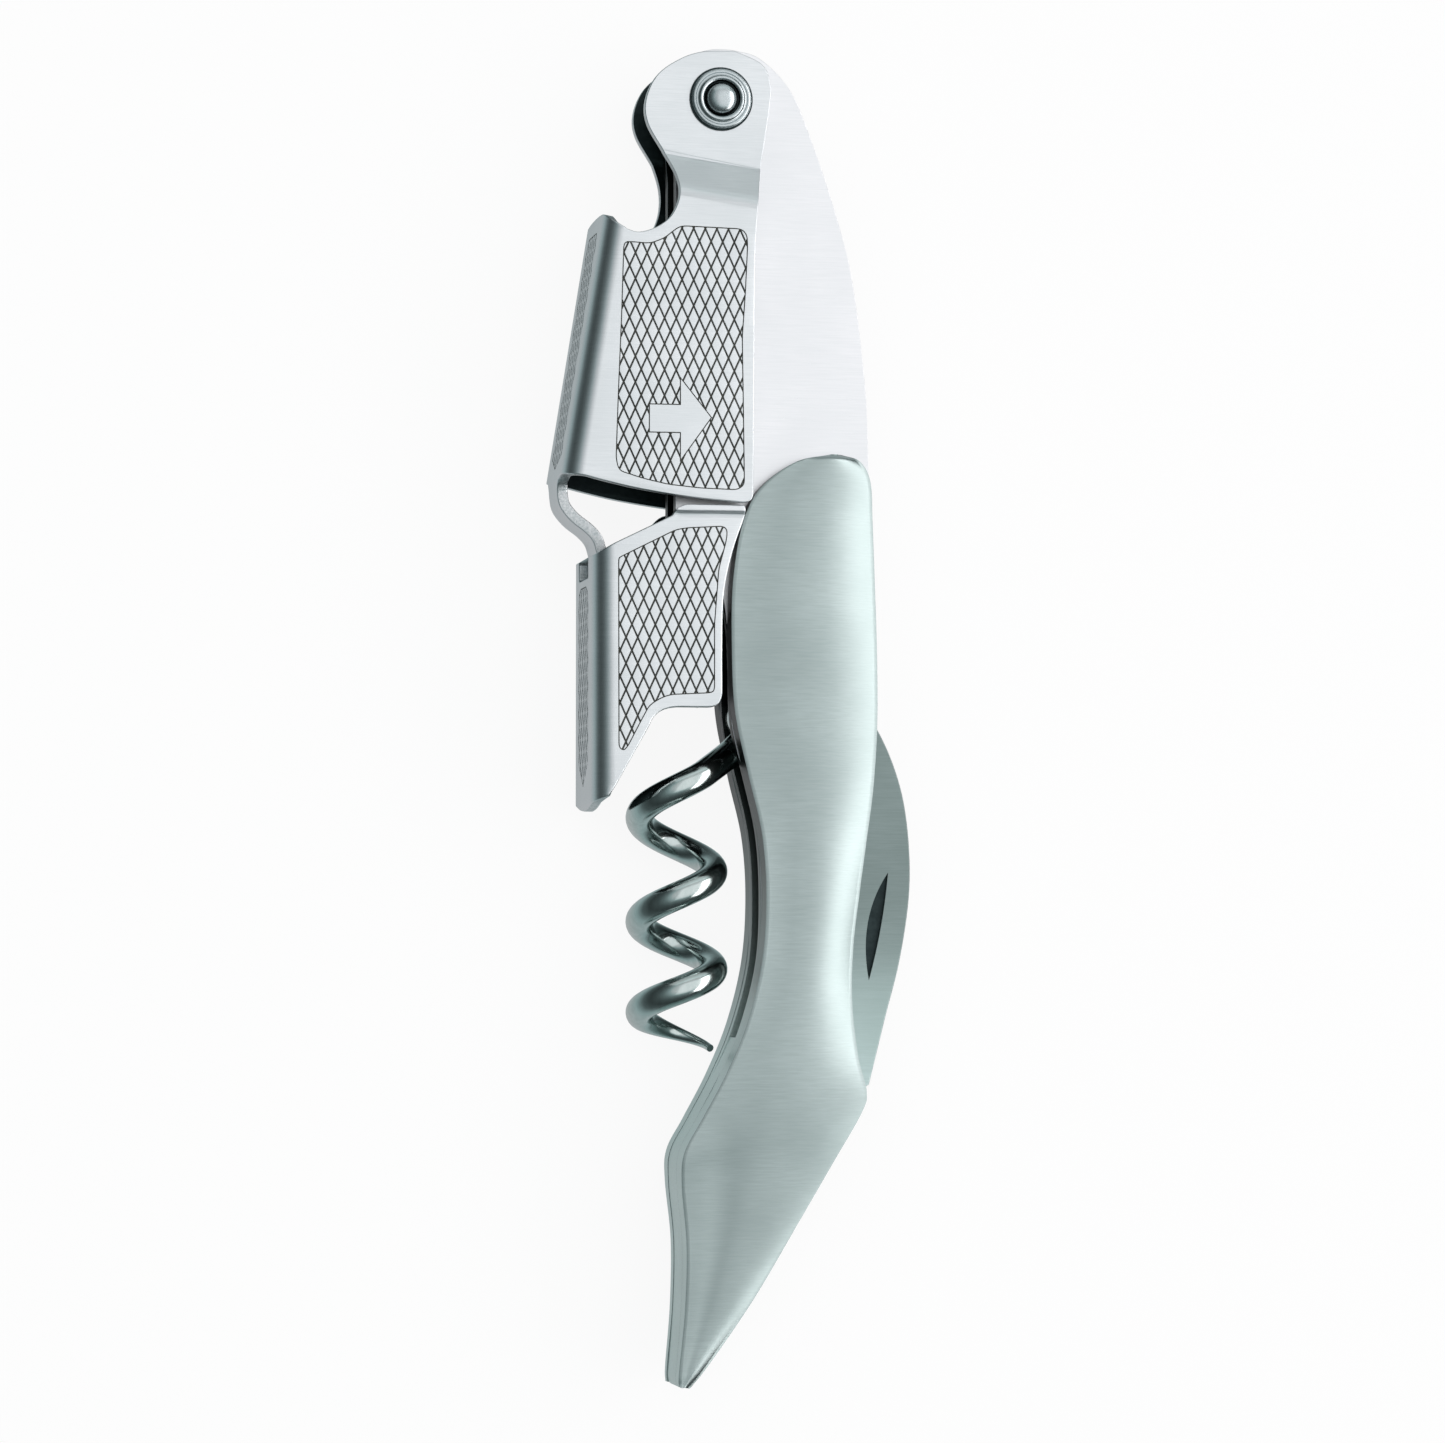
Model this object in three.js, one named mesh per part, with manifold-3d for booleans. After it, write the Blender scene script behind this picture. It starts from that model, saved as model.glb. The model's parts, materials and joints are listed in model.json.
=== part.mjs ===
// A two-stage lever corkscrew, folded shut, all in steel. Millimetres.
// It lies on the rear flange of its lever: +X towards the foil blade, +Y towards the lever's rivet,
// +Z out of the front side. Pieces are drawn about the middle plane, z = 0, and the whole is raised
// at the end by half its thickness. The rear half mirrors the front half.
import * as THREE from "three";
import { mergeVertices } from "three/addons/utils/BufferGeometryUtils.js";
import Module from "manifold-3d";

// ---- driving dimensions ----
const MIDDLE = { x: 0.39, y: 0.4 }; // middle of the whole's outline, which becomes the origin
const HALF_THICKNESS = 6.5; // middle plane to the outer face of a lever flange
const SHEET = 1.0; // thickness of both levers' sheet
const BEND = 2.0; // outer radius of the levers' long bends
const SLOT = 1.7; // half the slot between the liners
const LINER = { low: 1.7, high: 2.9 }; // front liner, from face to face
const EAR = { low: 3.0, high: 4.0 }; // lever ear beside the liner
const SHELL_BASE = 3.0; // flat underside of a handle shell
const RUN = 0.1; // radial clearance of every pin in its hole

const RIVET = { x: -1.3, y: 57.7, r: 1.65 };
const HINGE = { x: -10.9, y: 14.2, r: 0.7 };
const WORM_PIVOT = { x: 2.3, y: 0.2, r: 1.0 };
const BLADE_PIVOT = { x: 10.2, y: -35.4, r: 1.2 };
const TAIL_PINS = [{ name: "tail_pin_upper", x: 0.2, y: -42.5 }, { name: "tail_pin_lower", x: -2.6, y: -53 }];
const BAR_PINS = [{ name: "bar_pin_upper", x: 11.7, y: 19 }, { name: "bar_pin_lower", x: 11.9, y: 8 }];
const SPRING_RIVET = { x: 7.7, y: 18 };
const SMALL_PIN = 0.8; // radius of the tail, bar and spring pins
const STRAP_HALF_WIDTH = 2.6;
const WIRE = 1.3; // radius of the worm's wire

const wasm = await Module();
wasm.setup();

// ---- materials ----
const steel = (color, roughness) =>
  new THREE.MeshStandardMaterial({ color, roughness, metalness: 1 });
const LEVER_STEEL = steel(0xdfe3e4, 0.32);
const LINER_STEEL = steel(0xe6e8ea, 0.35);
const SHELL_STEEL = steel(0xaebbba, 0.42);
const WORM_STEEL = steel(0x8d9896, 0.14);
const BLADE_STEEL = steel(0x98a6a3, 0.4);
const RIVET_STEEL = steel(0xb4bdbf, 0.22);
const HIDDEN_STEEL = steel(0x6f7677, 0.5);

// ---- solids ----
const vectors = (pairs) => pairs.map(([x, y]) => new THREE.Vector2(x, y));

// A closed geometry as a solid that can be joined and cut.
function solid(geometry) {
  const bare = geometry.index ? geometry.toNonIndexed() : geometry.clone();
  bare.deleteAttribute("normal");
  bare.deleteAttribute("uv");
  const merged = mergeVertices(bare, 1e-4);
  return new wasm.Manifold(
    new wasm.Mesh({
      numProp: 3,
      vertProperties: merged.attributes.position.array,
      triVerts: new Uint32Array(merged.index.array),
    }),
  );
}

function named(name, made, material) {
  const { vertProperties, triVerts } = made.getMesh();
  const geometry = new THREE.BufferGeometry();
  geometry.setAttribute("position", new THREE.BufferAttribute(vertProperties, 3));
  geometry.setIndex(new THREE.BufferAttribute(triVerts, 1));
  geometry.computeVertexNormals();
  const mesh = new THREE.Mesh(geometry, material);
  mesh.name = name;
  return mesh;
}

// The mirror image behind the middle plane.
function mirrored(name, front) {
  const mesh = new THREE.Mesh(front.geometry, front.material);
  mesh.name = name;
  mesh.scale.z = -1;
  return mesh;
}

// An outline in the XY plane, made solid from one height to another.
function plate(shape, low, high) {
  const options = { depth: high - low, bevelEnabled: false, curveSegments: 4 };
  return solid(new THREE.ExtrudeGeometry(shape, options).translate(0, 0, low));
}

function disc(at, r, low, high, sides = 18) {
  const cylinder = new THREE.CylinderGeometry(r, r, high - low, sides);
  cylinder.rotateX(Math.PI / 2);
  return solid(cylinder.translate(at.x, at.y, (low + high) / 2));
}

function block(from, to) {
  const low = new THREE.Vector3(...from);
  const high = new THREE.Vector3(...to);
  const size = high.clone().sub(low);
  const middle = low.add(high).multiplyScalar(0.5);
  return solid(new THREE.BoxGeometry(...size).translate(...middle));
}

// A pin along Z that passes both liners.
const pin = (at, r) => disc(at, r, -LINER.high, LINER.high);

// A strip of even width along a smooth line, as an outline.
function strip(pairs, width, steps = 20) {
  const line = new THREE.SplineCurve(vectors(pairs));
  const sides = [[], []];
  for (let i = 0; i <= steps; i++) {
    const at = line.getPoint(i / steps);
    const along = line.getTangent(i / steps);
    const across = new THREE.Vector2(-along.y, along.x).multiplyScalar(width / 2);
    sides[0].push(at.clone().add(across));
    sides[1].unshift(at.clone().sub(across));
  }
  return new THREE.Shape([...sides[0], ...sides[1]]);
}

// ---- handle ----
function linerOutline() {
  const shape = new THREE.Shape();
  shape.moveTo(-0.9, 11.5);
  shape.lineTo(-5.4, 18.5);
  shape.lineTo(-5.4, 50.5);
  shape.lineTo(-5.9, 56.0);
  shape.absarc(RIVET.x, RIVET.y, 4.9, Math.PI * 1.1, Math.PI / 2, true);
  shape.splineThru(vectors([[0.2, 62.5], [2.6, 61.8], [5.4, 59.0], [7.4, 54.5], [9.8, 47.4],
    [11.4, 41.0], [12.6, 31.1], [12.9, 23.5], [13.1, 12.0], [13.2, 1.0], [12.6, -8.0],
    [11.5, -16.0], [10.8, -24.0], [11.9, -33.6]]));
  shape.quadraticCurveTo(12.2, -34.8, 11.6, -36.2);
  shape.lineTo(4.5, -48.4);
  shape.lineTo(-3.9, -61.0);
  shape.quadraticCurveTo(-5.0, -62.0, -5.0, -60.8);
  shape.splineThru(vectors([[-4.5, -55.0], [-4.3, -49.0], [-4.8, -42.0], [-4.6, -40.0]]));
  shape.splineThru(vectors([[-3.2, -37.2], [-0.4, -32.0], [1.2, -28.0], [2.3, -23.0],
    [2.6, -17.0], [2.3, -11.0], [1.3, -6.6], [0.4, -3.2], [-0.2, 0.5], [-0.4, 7.0], [-0.9, 11.5]]));
  return shape;
}

function liner() {
  let made = plate(linerOutline(), LINER.low, LINER.high);
  const holes = [RIVET, WORM_PIVOT, BLADE_PIVOT];
  for (const pinAt of [...TAIL_PINS, ...BAR_PINS, SPRING_RIVET]) holes.push({ ...pinAt, r: SMALL_PIN });
  for (const hole of holes) made = made.subtract(disc(hole, hole.r + RUN, 0, EAR.high));
  return made;
}

// The shell's two long edges, from the arch at its top to the tail. Equal steps along the two
// curves are joined straight across, and the dome rises between them.
const SHELL_LEFT = vectors([[9.2, 24.7], [5.6, 23.8], [2.2, 21.2], [0.5, 17.8], [-0.4, 12.5],
  [-0.5, 6.5], [-0.2, 0.5], [1.0, -5.2], [2.3, -10.8], [2.7, -16.5], [2.3, -22.5], [0.9, -28.2],
  [-1.1, -33.0], [-3.3, -37.1], [-4.9, -40.1], [-5.1, -43.0], [-4.6, -48.5], [-4.7, -54.5],
  [-5.2, -60.2], [-5.2, -61.6]]);
const SHELL_RIGHT = vectors([[10.2, 24.7], [12.0, 24.1], [13.0, 22.2], [13.2, 18.5], [13.4, 13.0],
  [13.6, 6.5], [13.6, 0.0], [13.2, -6.0], [12.5, -11.3], [11.8, -16.3], [11.2, -21.3], [11.1, -26.3],
  [11.7, -31.4], [12.5, -34.6], [12.0, -36.6], [9.3, -41.2], [6.1, -46.6], [1.9, -53.6],
  [-2.3, -59.6], [-4.1, -61.8]]);
// Heights above the middle plane at even steps from the arch to the tail.
const RIM_HEIGHTS = vectors([[0, 3.4], [0.1, 3.4], [0.25, 3.35], [0.4, 3.8], [0.55, 3.9], [0.7, 3.7], [1, 3.5]]);
const DOME_RISES = vectors([[0, 1.0], [0.08, 1.4], [0.2, 1.85], [0.4, 1.5], [0.6, 1.5], [0.72, 1.4],
  [0.85, 1.1], [1, 0.3]]);
const CREST = -0.45; // where the dome starts to fall away: -1 is the left edge and 1 the right
const LEFT_LIFT = 0.09;

// The dome's height across the shell: nearly flat up to the crest, then falling to the right edge.
function domeShare(across) {
  if (across < CREST) return 1 + LEFT_LIFT * Math.pow((CREST - across) / (1 + CREST), 2);
  return 1 - Math.pow((across - CREST) / (1 - CREST), 2.1);
}

function interpolate(table, t) {
  const next = table.findIndex((entry, i) => i > 0 && t <= entry.x);
  const [a, b] = [table[next - 1], table[next]];
  const mix = THREE.MathUtils.smoothstep(t, a.x, b.x);
  return THREE.MathUtils.lerp(a.y, b.y, mix);
}

function shell() {
  const left = new THREE.SplineCurve(SHELL_LEFT);
  const right = new THREE.SplineCurve(SHELL_RIGHT);
  const box = new THREE.BoxGeometry(2, 1, 1, 8, 38, 1);
  const corner = box.attributes.position;
  for (let i = 0; i < corner.count; i++) {
    const across = corner.getX(i); // -1 at the left edge, 1 at the right edge
    const down = THREE.MathUtils.clamp(0.5 - corner.getY(i), 0, 1);
    const at = left.getPoint(down).lerp(right.getPoint(down), (across + 1) / 2);
    const dome = interpolate(DOME_RISES, down) * domeShare(across);
    const top = interpolate(RIM_HEIGHTS, down) + dome;
    corner.setXYZ(i, at.x, at.y, corner.getZ(i) > 0 ? top : SHELL_BASE);
  }
  return solid(box);
}

function tailSpacer() {
  const shape = new THREE.Shape();
  shape.moveTo(0.6, -29.6);
  shape.splineThru(vectors([[-0.6, -32.2], [-3.0, -36.6], [-4.5, -39.6], [-4.8, -42.5],
    [-4.3, -48.5], [-4.5, -55.0], [-4.9, -60.6]]));
  shape.lineTo(-4.2, -61.0);
  shape.lineTo(4.2, -48.4);
  shape.lineTo(8.1, -42.0);
  const relief = 5.6;
  shape.absarc(BLADE_PIVOT.x, BLADE_PIVOT.y, relief, Math.PI * 1.39, Math.PI * 0.84, true);
  shape.lineTo(3.0, -29.6);
  let made = plate(shape, -SLOT, SLOT);
  for (const at of TAIL_PINS) made = made.subtract(disc(at, SMALL_PIN + RUN, -SLOT - 1, SLOT + 1));
  return made;
}

function backBar() {
  const line = [[3.6, 58.2], [6.6, 52.0], [8.9, 45.0], [10.4, 37.0], [11.3, 28.0], [11.7, 18.0], [11.9, 5.0]];
  let made = plate(strip(line, 2.2), -SLOT, SLOT);
  for (const at of BAR_PINS) made = made.subtract(disc(at, SMALL_PIN + RUN, -SLOT - 1, SLOT + 1));
  return made;
}

function wormSpring() {
  const line = [[7.6, 22.0], [7.7, 18.0], [7.7, 13.0], [7.1, 7.5], [5.5, 2.7]];
  const thickness = 1.2;
  const halfWidth = 1.4;
  const leaf = plate(strip(line, thickness), -halfWidth, halfWidth);
  const seat = disc(SPRING_RIVET, 1.6, -halfWidth, halfWidth);
  return leaf.add(seat).subtract(disc(SPRING_RIVET, SMALL_PIN + RUN, -SLOT, SLOT));
}

function washer(at, outer, low, high) {
  return disc(at, outer, low, high).subtract(disc(at, at.r + RUN, low - 1, high + 1));
}

// ---- levers ----
// A channel of bent sheet: its spine's outer face stands on a line through `foot`, leaning `lean`
// radians to the right, and its two flanges reach to the right of it.
function channel(foot, lean, length, reach) {
  const half = HALF_THICKNESS;
  const inner = half - SHEET;
  const shape = new THREE.Shape();
  shape.moveTo(reach, -half);
  shape.lineTo(reach, -inner);
  shape.lineTo(BEND, -inner);
  shape.absarc(BEND, -half + BEND, BEND - SHEET, -Math.PI / 2, -Math.PI, true);
  shape.absarc(BEND, half - BEND, BEND - SHEET, Math.PI, Math.PI / 2, true);
  shape.lineTo(reach, inner);
  shape.lineTo(reach, half);
  shape.absarc(BEND, half - BEND, BEND, Math.PI / 2, Math.PI, false);
  shape.absarc(BEND, -half + BEND, BEND, Math.PI, Math.PI * 1.5, false);
  const options = { depth: length, bevelEnabled: false, curveSegments: 5 };
  const prism = new THREE.ExtrudeGeometry(shape, options);
  prism.rotateX(-Math.PI / 2).rotateZ(-lean).translate(foot.x, foot.y, 0);
  return solid(prism);
}

// The ear and its joggle: a sheet that steps inwards between two heights along Y, over the whole width.
// Its step runs nearly square to the leaning spine, so it is turned about the middle of the band.
const JOGGLE = { start: 47.0, end: 51.9, x: -2.0, y: 49.5, tilt: -7.2 };
const stepTilted = (made) =>
  made.translate([-JOGGLE.x, -JOGGLE.y, 0]).rotate([0, 0, JOGGLE.tilt]).translate([JOGGLE.x, JOGGLE.y, 0]);
function joggledSheet(side) {
  const outline = vectors([[43.0, HALF_THICKNESS], [JOGGLE.start, HALF_THICKNESS], [JOGGLE.end, EAR.high],
    [64.0, EAR.high], [64.0, EAR.low], [JOGGLE.end - 0.3, EAR.low],
    [JOGGLE.start - 0.3, HALF_THICKNESS - SHEET], [43.0, HALF_THICKNESS - SHEET]]);
  const shape = new THREE.Shape(outline.map((at) => new THREE.Vector2(at.x, at.y * side)));
  const sheet = new THREE.ExtrudeGeometry(shape, { depth: 16, bevelEnabled: false });
  const turn = new THREE.Matrix4().makeBasis(
    new THREE.Vector3(0, 1, 0),
    new THREE.Vector3(0, 0, 1),
    new THREE.Vector3(1, 0, 0),
  );
  return stepTilted(solid(sheet.applyMatrix4(turn).translate(-10.5, 0, 0)));
}

function upperOutline() {
  const shape = new THREE.Shape();
  shape.moveTo(0.0, 62.3);
  shape.splineThru(vectors([[-3.2, 62.1], [-5.5, 61.2], [-7.4, 59.7], [-8.4, 57.4], [-8.2, 55.2],
    [-6.6, 52.4], [-5.7, 50.2], [-5.6, 48.2], [-6.4, 46.3], [-7.8, 45.2], [-9.4, 44.7],
    [-10.8, 45.1], [-11.4, 46.1]]));
  shape.quadraticCurveTo(-11.8, 47.2, -12.3, 46.6);
  shape.quadraticCurveTo(-12.6, 45.9, -13.0, 44.4);
  shape.lineTo(-19.0, 43.0);
  shape.lineTo(-19.0, 22.7);
  shape.lineTo(-15.8, 22.3);
  shape.splineThru(vectors([[-12.6, 21.6], [-9.3, 20.9], [-4.5, 20.2], [0.2, 19.8]]));
  shape.quadraticCurveTo(1.3, 19.7, 1.3, 20.7);
  shape.lineTo(1.4, 36.0);
  shape.splineThru(vectors([[1.5, 43.0], [1.8, 47.5], [2.5, 51.6], [3.3, 57.0], [3.4, 59.3],
    [2.6, 61.1], [0.0, 62.3]]));
  return shape;
}

function upperLever() {
  const tall = HALF_THICKNESS + 1;
  const foot = { x: -17.14, y: 18.0 };
  const lean = 0.161;
  const cut = plate(upperOutline(), -tall, tall);
  const aboveStep = stepTilted(block([-9.9, JOGGLE.start - 0.4, -9], [14, 70, 9]));
  const body = channel(foot, lean, 32, 24).subtract(aboveStep);
  let made = body.add(joggledSheet(1)).add(joggledSheet(-1)).intersect(cut);
  const strapLine = [[-15.45, 24.6], [-15.95, 21.2], [-15.75, 19.6],
    [-14.8, 18.4], [-13.4, 17.4], [-12.5, 16.3], [-12.05, 14.4]];
  const strap = plate(strip(strapLine, SHEET, 14), -STRAP_HALF_WIDTH, STRAP_HALF_WIDTH);
  const knuckle = disc(HINGE, HINGE.r + 0.9, -STRAP_HALF_WIDTH, STRAP_HALF_WIDTH, 20);
  made = made.add(strap).add(knuckle);
  made = made.subtract(disc(HINGE, HINGE.r + RUN, -tall, tall, 20));
  return made.subtract(disc(RIVET, RIVET.r + RUN, -tall, tall));
}

function lowerOutline() {
  const shape = new THREE.Shape();
  shape.moveTo(-16.0, 14.8);
  shape.lineTo(-13.4, 14.8);
  shape.quadraticCurveTo(-12.6, 15.4, -11.8, 15.8);
  shape.lineTo(-6.0, 18.4);
  shape.quadraticCurveTo(-4.8, 18.9, -3.6, 18.9);
  shape.lineTo(0.3, 18.9);
  shape.quadraticCurveTo(0.7, 18.8, 0.4, 18.2);
  shape.splineThru(vectors([[-0.4, 16.0], [-1.1, 13.4], [-1.5, 10.7], [-1.6, 7.0], [-1.6, 2.2]]));
  shape.quadraticCurveTo(-1.7, 0.8, -2.9, 0.8);
  shape.lineTo(-5.8, 0.8);
  shape.quadraticCurveTo(-7.9, 0.7, -8.4, -0.9);
  shape.lineTo(-11.5, -6.2);
  shape.quadraticCurveTo(-12.4, -7.2, -12.8, -8.0);
  shape.quadraticCurveTo(-13.5, -9.1, -14.3, -8.6);
  shape.lineTo(-16.0, -7.8);
  return shape;
}

function lowerLever() {
  const tall = HALF_THICKNESS + 1;
  const body = channel({ x: -13.6, y: -12 }, 0, 34, 20);
  const made = body.intersect(plate(lowerOutline(), -tall, tall));
  const strapGap = STRAP_HALF_WIDTH + 0.3;
  return made.subtract(block([-16, 12.9, -strapGap], [-12.2, 20, strapGap]));
}

// ---- rivet ----
function lathe(profile, at) {
  const turned = new THREE.LatheGeometry(vectors(profile), 20).rotateX(Math.PI / 2);
  return solid(turned.translate(at.x, at.y, 0));
}

function rivet() {
  const shank = RIVET.r;
  return lathe([[0, -5.1], [0.8, -4.95], [1.25, -4.6], [1.36, -4.2], [shank, -4.1], [shank, 4.1],
    [1.36, 4.2], [1.25, 4.6], [0.8, 4.95], [0, 5.1]], RIVET);
}

function rivetRing() {
  const hole = RIVET.r + RUN;
  return lathe([[hole, 4.05], [2.8, 4.05], [2.8, 4.35], [2.6, 4.5], [2.2, 4.5], [2.05, 4.7],
    [1.85, 4.7], [hole, 4.6], [hole, 4.05]], RIVET);
}

// ---- worm ----
const HELIX = { x: -4.8, radius: 3.45, turns: 2.92, start: 0.12 };
// The helix tightens a little towards its point.
function helixPoint(turn) {
  const angle = turn * 2 * Math.PI;
  const y = -3.6 - 10.9 * turn + 0.6 * turn * turn;
  return new THREE.Vector3(HELIX.x + HELIX.radius * Math.cos(angle), y, HELIX.radius * Math.sin(angle));
}

function wormWire() {
  const points = [new THREE.Vector3(1.6, -0.9, 0), new THREE.Vector3(0.3, -2.6, 0.1)];
  const samples = 34;
  for (let i = 0; i <= samples; i++) {
    points.push(helixPoint(THREE.MathUtils.lerp(HELIX.start, HELIX.turns, i / samples)));
  }
  const line = new THREE.CatmullRomCurve3(points);
  const steps = 66;
  const sides = 8;
  const frames = line.computeFrenetFrames(steps, false);
  const ring = [];
  for (let i = 0; i <= steps; i++) {
    const along = i / steps;
    const taper = 1 - 0.86 * THREE.MathUtils.smoothstep(along, 0.78, 1);
    const at = line.getPointAt(along);
    for (let k = 0; k < sides; k++) {
      const angle = (k / sides) * 2 * Math.PI;
      const out = frames.normals[i].clone().multiplyScalar(Math.cos(angle) * WIRE * taper);
      out.addScaledVector(frames.binormals[i], Math.sin(angle) * WIRE * taper);
      ring.push(...at.clone().add(out));
    }
  }
  const first = ring.length / 3;
  ring.push(...line.getPointAt(0), ...line.getPointAt(1));
  const faces = [];
  for (let i = 0; i < steps; i++) {
    for (let k = 0; k < sides; k++) {
      const a = i * sides + k;
      const b = i * sides + ((k + 1) % sides);
      faces.push(a, b, a + sides, b, b + sides, a + sides);
    }
  }
  for (let k = 0; k < sides; k++) {
    const next = (k + 1) % sides;
    faces.push(first, next, k, first + 1, steps * sides + k, steps * sides + next);
  }
  const geometry = new THREE.BufferGeometry();
  geometry.setAttribute("position", new THREE.Float32BufferAttribute(ring, 3));
  geometry.setIndex(faces);
  return solid(geometry);
}

function worm() {
  const eye = disc(WORM_PIVOT, 2.3, -WIRE, WIRE);
  return wormWire().add(eye).subtract(disc(WORM_PIVOT, WORM_PIVOT.r + RUN, -WIRE - 1, WIRE + 1));
}

// ---- foil blade ----
const BLADE_HALF = 0.8;
function bladeOutline() {
  const shape = new THREE.Shape();
  shape.moveTo(12.6, 1.4);
  shape.splineThru(vectors([[14.3, -1.1], [15.7, -4.2], [16.7, -7.8], [17.2, -12.4], [17.1, -17.0],
    [16.2, -22.6], [14.9, -27.6]]));
  shape.lineTo(13.3, -34.0);
  shape.absarc(BLADE_PIVOT.x, BLADE_PIVOT.y, 2.2, 0.3, Math.PI, true);
  shape.lineTo(7.4, -33.0);
  shape.lineTo(10.4, -30.4);
  shape.lineTo(10.5, -4.0);
  shape.quadraticCurveTo(10.9, -0.6, 12.6, 1.4);
  return shape;
}

function foilBlade() {
  let made = plate(bladeOutline(), -BLADE_HALF, BLADE_HALF);
  for (let i = 0; i < 12; i++) {
    made = made.subtract(disc({ x: 9.85, y: -27.5 + 2 * i }, 1.0, -2, 2, 12));
  }
  const nick = new THREE.Shape();
  nick.moveTo(15.15, -14.2);
  nick.quadraticCurveTo(12.4, -18.5, 13.3, -24.3);
  nick.quadraticCurveTo(15.3, -19.5, 15.15, -14.2);
  made = made.subtract(plate(nick, BLADE_HALF - 0.35, BLADE_HALF + 1));
  return made.subtract(disc(BLADE_PIVOT, BLADE_PIVOT.r + RUN, -2, 2));
}

// ---- the whole ----
const corkscrew = new THREE.Group();

const frontLiner = named("front_liner", liner(), LINER_STEEL);
const frontShell = named("front_shell", shell(), SHELL_STEEL);
corkscrew.add(frontLiner, mirrored("rear_liner", frontLiner));
corkscrew.add(frontShell, mirrored("rear_shell", frontShell));
corkscrew.add(named("tail_spacer", tailSpacer(), SHELL_STEEL));
corkscrew.add(named("back_bar", backBar(), LINER_STEEL));
corkscrew.add(named("worm_spring", wormSpring(), HIDDEN_STEEL));
corkscrew.add(named("head_bush", washer(RIVET, 3.0, -SLOT, SLOT), HIDDEN_STEEL));
corkscrew.add(named("worm_pin", pin(WORM_PIVOT, WORM_PIVOT.r), HIDDEN_STEEL));
corkscrew.add(named("blade_pin", pin(BLADE_PIVOT, BLADE_PIVOT.r), HIDDEN_STEEL));
corkscrew.add(named("spring_rivet", pin(SPRING_RIVET, SMALL_PIN), HIDDEN_STEEL));
for (const at of [...TAIL_PINS, ...BAR_PINS]) corkscrew.add(named(at.name, pin(at, SMALL_PIN), HIDDEN_STEEL));

const wormWasher = named("worm_washer_front", washer(WORM_PIVOT, 2.1, WIRE + 0.05, SLOT), HIDDEN_STEEL);
const bladeWasher = named("blade_washer_front", washer(BLADE_PIVOT, 1.9, BLADE_HALF + 0.05, SLOT), HIDDEN_STEEL);
corkscrew.add(wormWasher, mirrored("worm_washer_rear", wormWasher));
corkscrew.add(bladeWasher, mirrored("blade_washer_rear", bladeWasher));

const frontRing = named("rivet_ring_front", rivetRing(), RIVET_STEEL);
corkscrew.add(named("upper_lever", upperLever(), LEVER_STEEL));
corkscrew.add(named("lever_rivet", rivet(), RIVET_STEEL));
corkscrew.add(frontRing, mirrored("rivet_ring_rear", frontRing));
corkscrew.add(named("hinge_pin", disc(HINGE, HINGE.r, -5.4, 5.4, 20), HIDDEN_STEEL));
corkscrew.add(named("lower_lever", lowerLever(), LEVER_STEEL));
corkscrew.add(named("worm", worm(), WORM_STEEL));
corkscrew.add(named("foil_blade", foilBlade(), BLADE_STEEL));

corkscrew.position.set(-MIDDLE.x, -MIDDLE.y, HALF_THICKNESS);

export default corkscrew;
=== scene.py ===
# %% [markdown]
# # A two-stage lever corkscrew
# The tool is folded shut and lies on its side. Two levers of bent sheet steel stand along its left
# edge, a waisted handle of two thin plates and two domed shells holds a chromed worm and a small
# foil blade, and one rivet joins the levers to the handle.
# Every piece here is drawn in millimetres about the tool's middle plane, as a workshop drawing
# would be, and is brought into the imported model's place, in metres, as its last step.

import json
import math
from functools import partial

import bmesh
import bpy
import numpy as np
from mathutils import Matrix, Vector


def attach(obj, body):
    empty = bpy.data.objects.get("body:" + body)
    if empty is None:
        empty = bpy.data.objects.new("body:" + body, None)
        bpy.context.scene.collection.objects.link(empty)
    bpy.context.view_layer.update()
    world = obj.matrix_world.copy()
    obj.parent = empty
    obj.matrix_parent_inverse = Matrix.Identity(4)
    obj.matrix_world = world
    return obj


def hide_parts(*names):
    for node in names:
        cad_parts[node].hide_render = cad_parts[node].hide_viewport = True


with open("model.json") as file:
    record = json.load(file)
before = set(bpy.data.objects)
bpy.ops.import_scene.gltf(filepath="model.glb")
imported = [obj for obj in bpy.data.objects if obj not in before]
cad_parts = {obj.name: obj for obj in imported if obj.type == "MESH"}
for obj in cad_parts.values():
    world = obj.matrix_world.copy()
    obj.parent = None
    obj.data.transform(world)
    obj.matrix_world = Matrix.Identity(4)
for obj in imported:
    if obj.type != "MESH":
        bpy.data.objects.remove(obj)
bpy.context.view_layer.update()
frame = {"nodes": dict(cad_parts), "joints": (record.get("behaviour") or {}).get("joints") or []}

# %% [markdown]
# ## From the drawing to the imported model
# The lever's rivet is drawn at a known place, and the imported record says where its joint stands.
# The difference between the two moves every other drawn point to its place.

# %% Place of the drawing
MM = 0.001
RIVET = (-1.3, 57.7)
HINGE = (-10.9, 14.2)
WORM_PIVOT = (2.3, 0.2)
BLADE_PIVOT = (10.2, -35.4)
RIVET_HOLE, WORM_HOLE, BLADE_HOLE = 1.75, 1.1, 1.3
joint_places = {joint["name"]: np.array(joint["pos_m"]) for joint in frame["joints"]}
drawing_origin = joint_places["lever_swing"] - np.array([RIVET[0], RIVET[1], 0.0]) * MM


def placed(points):
    """Drawn points, in millimetres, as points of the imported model, in metres."""
    return np.asarray(points, float) * MM + drawing_origin


print("drawing origin:", drawing_origin)

# %% [markdown]
# ## Camera
# A long lens stands well back, a little to the left of the tool and slightly below its middle, so
# that the levers' spines and the lower edges just show. A long lens keeps the sides parallel.

# %% Camera
def in_scene(name, data):
    made = bpy.data.objects.new(name, data)
    bpy.context.scene.collection.objects.link(made)
    return made


def built_mesh(name, points, faces):
    mesh = bpy.data.meshes.new(name)
    mesh.from_pydata(points, [], faces)
    return mesh


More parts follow.
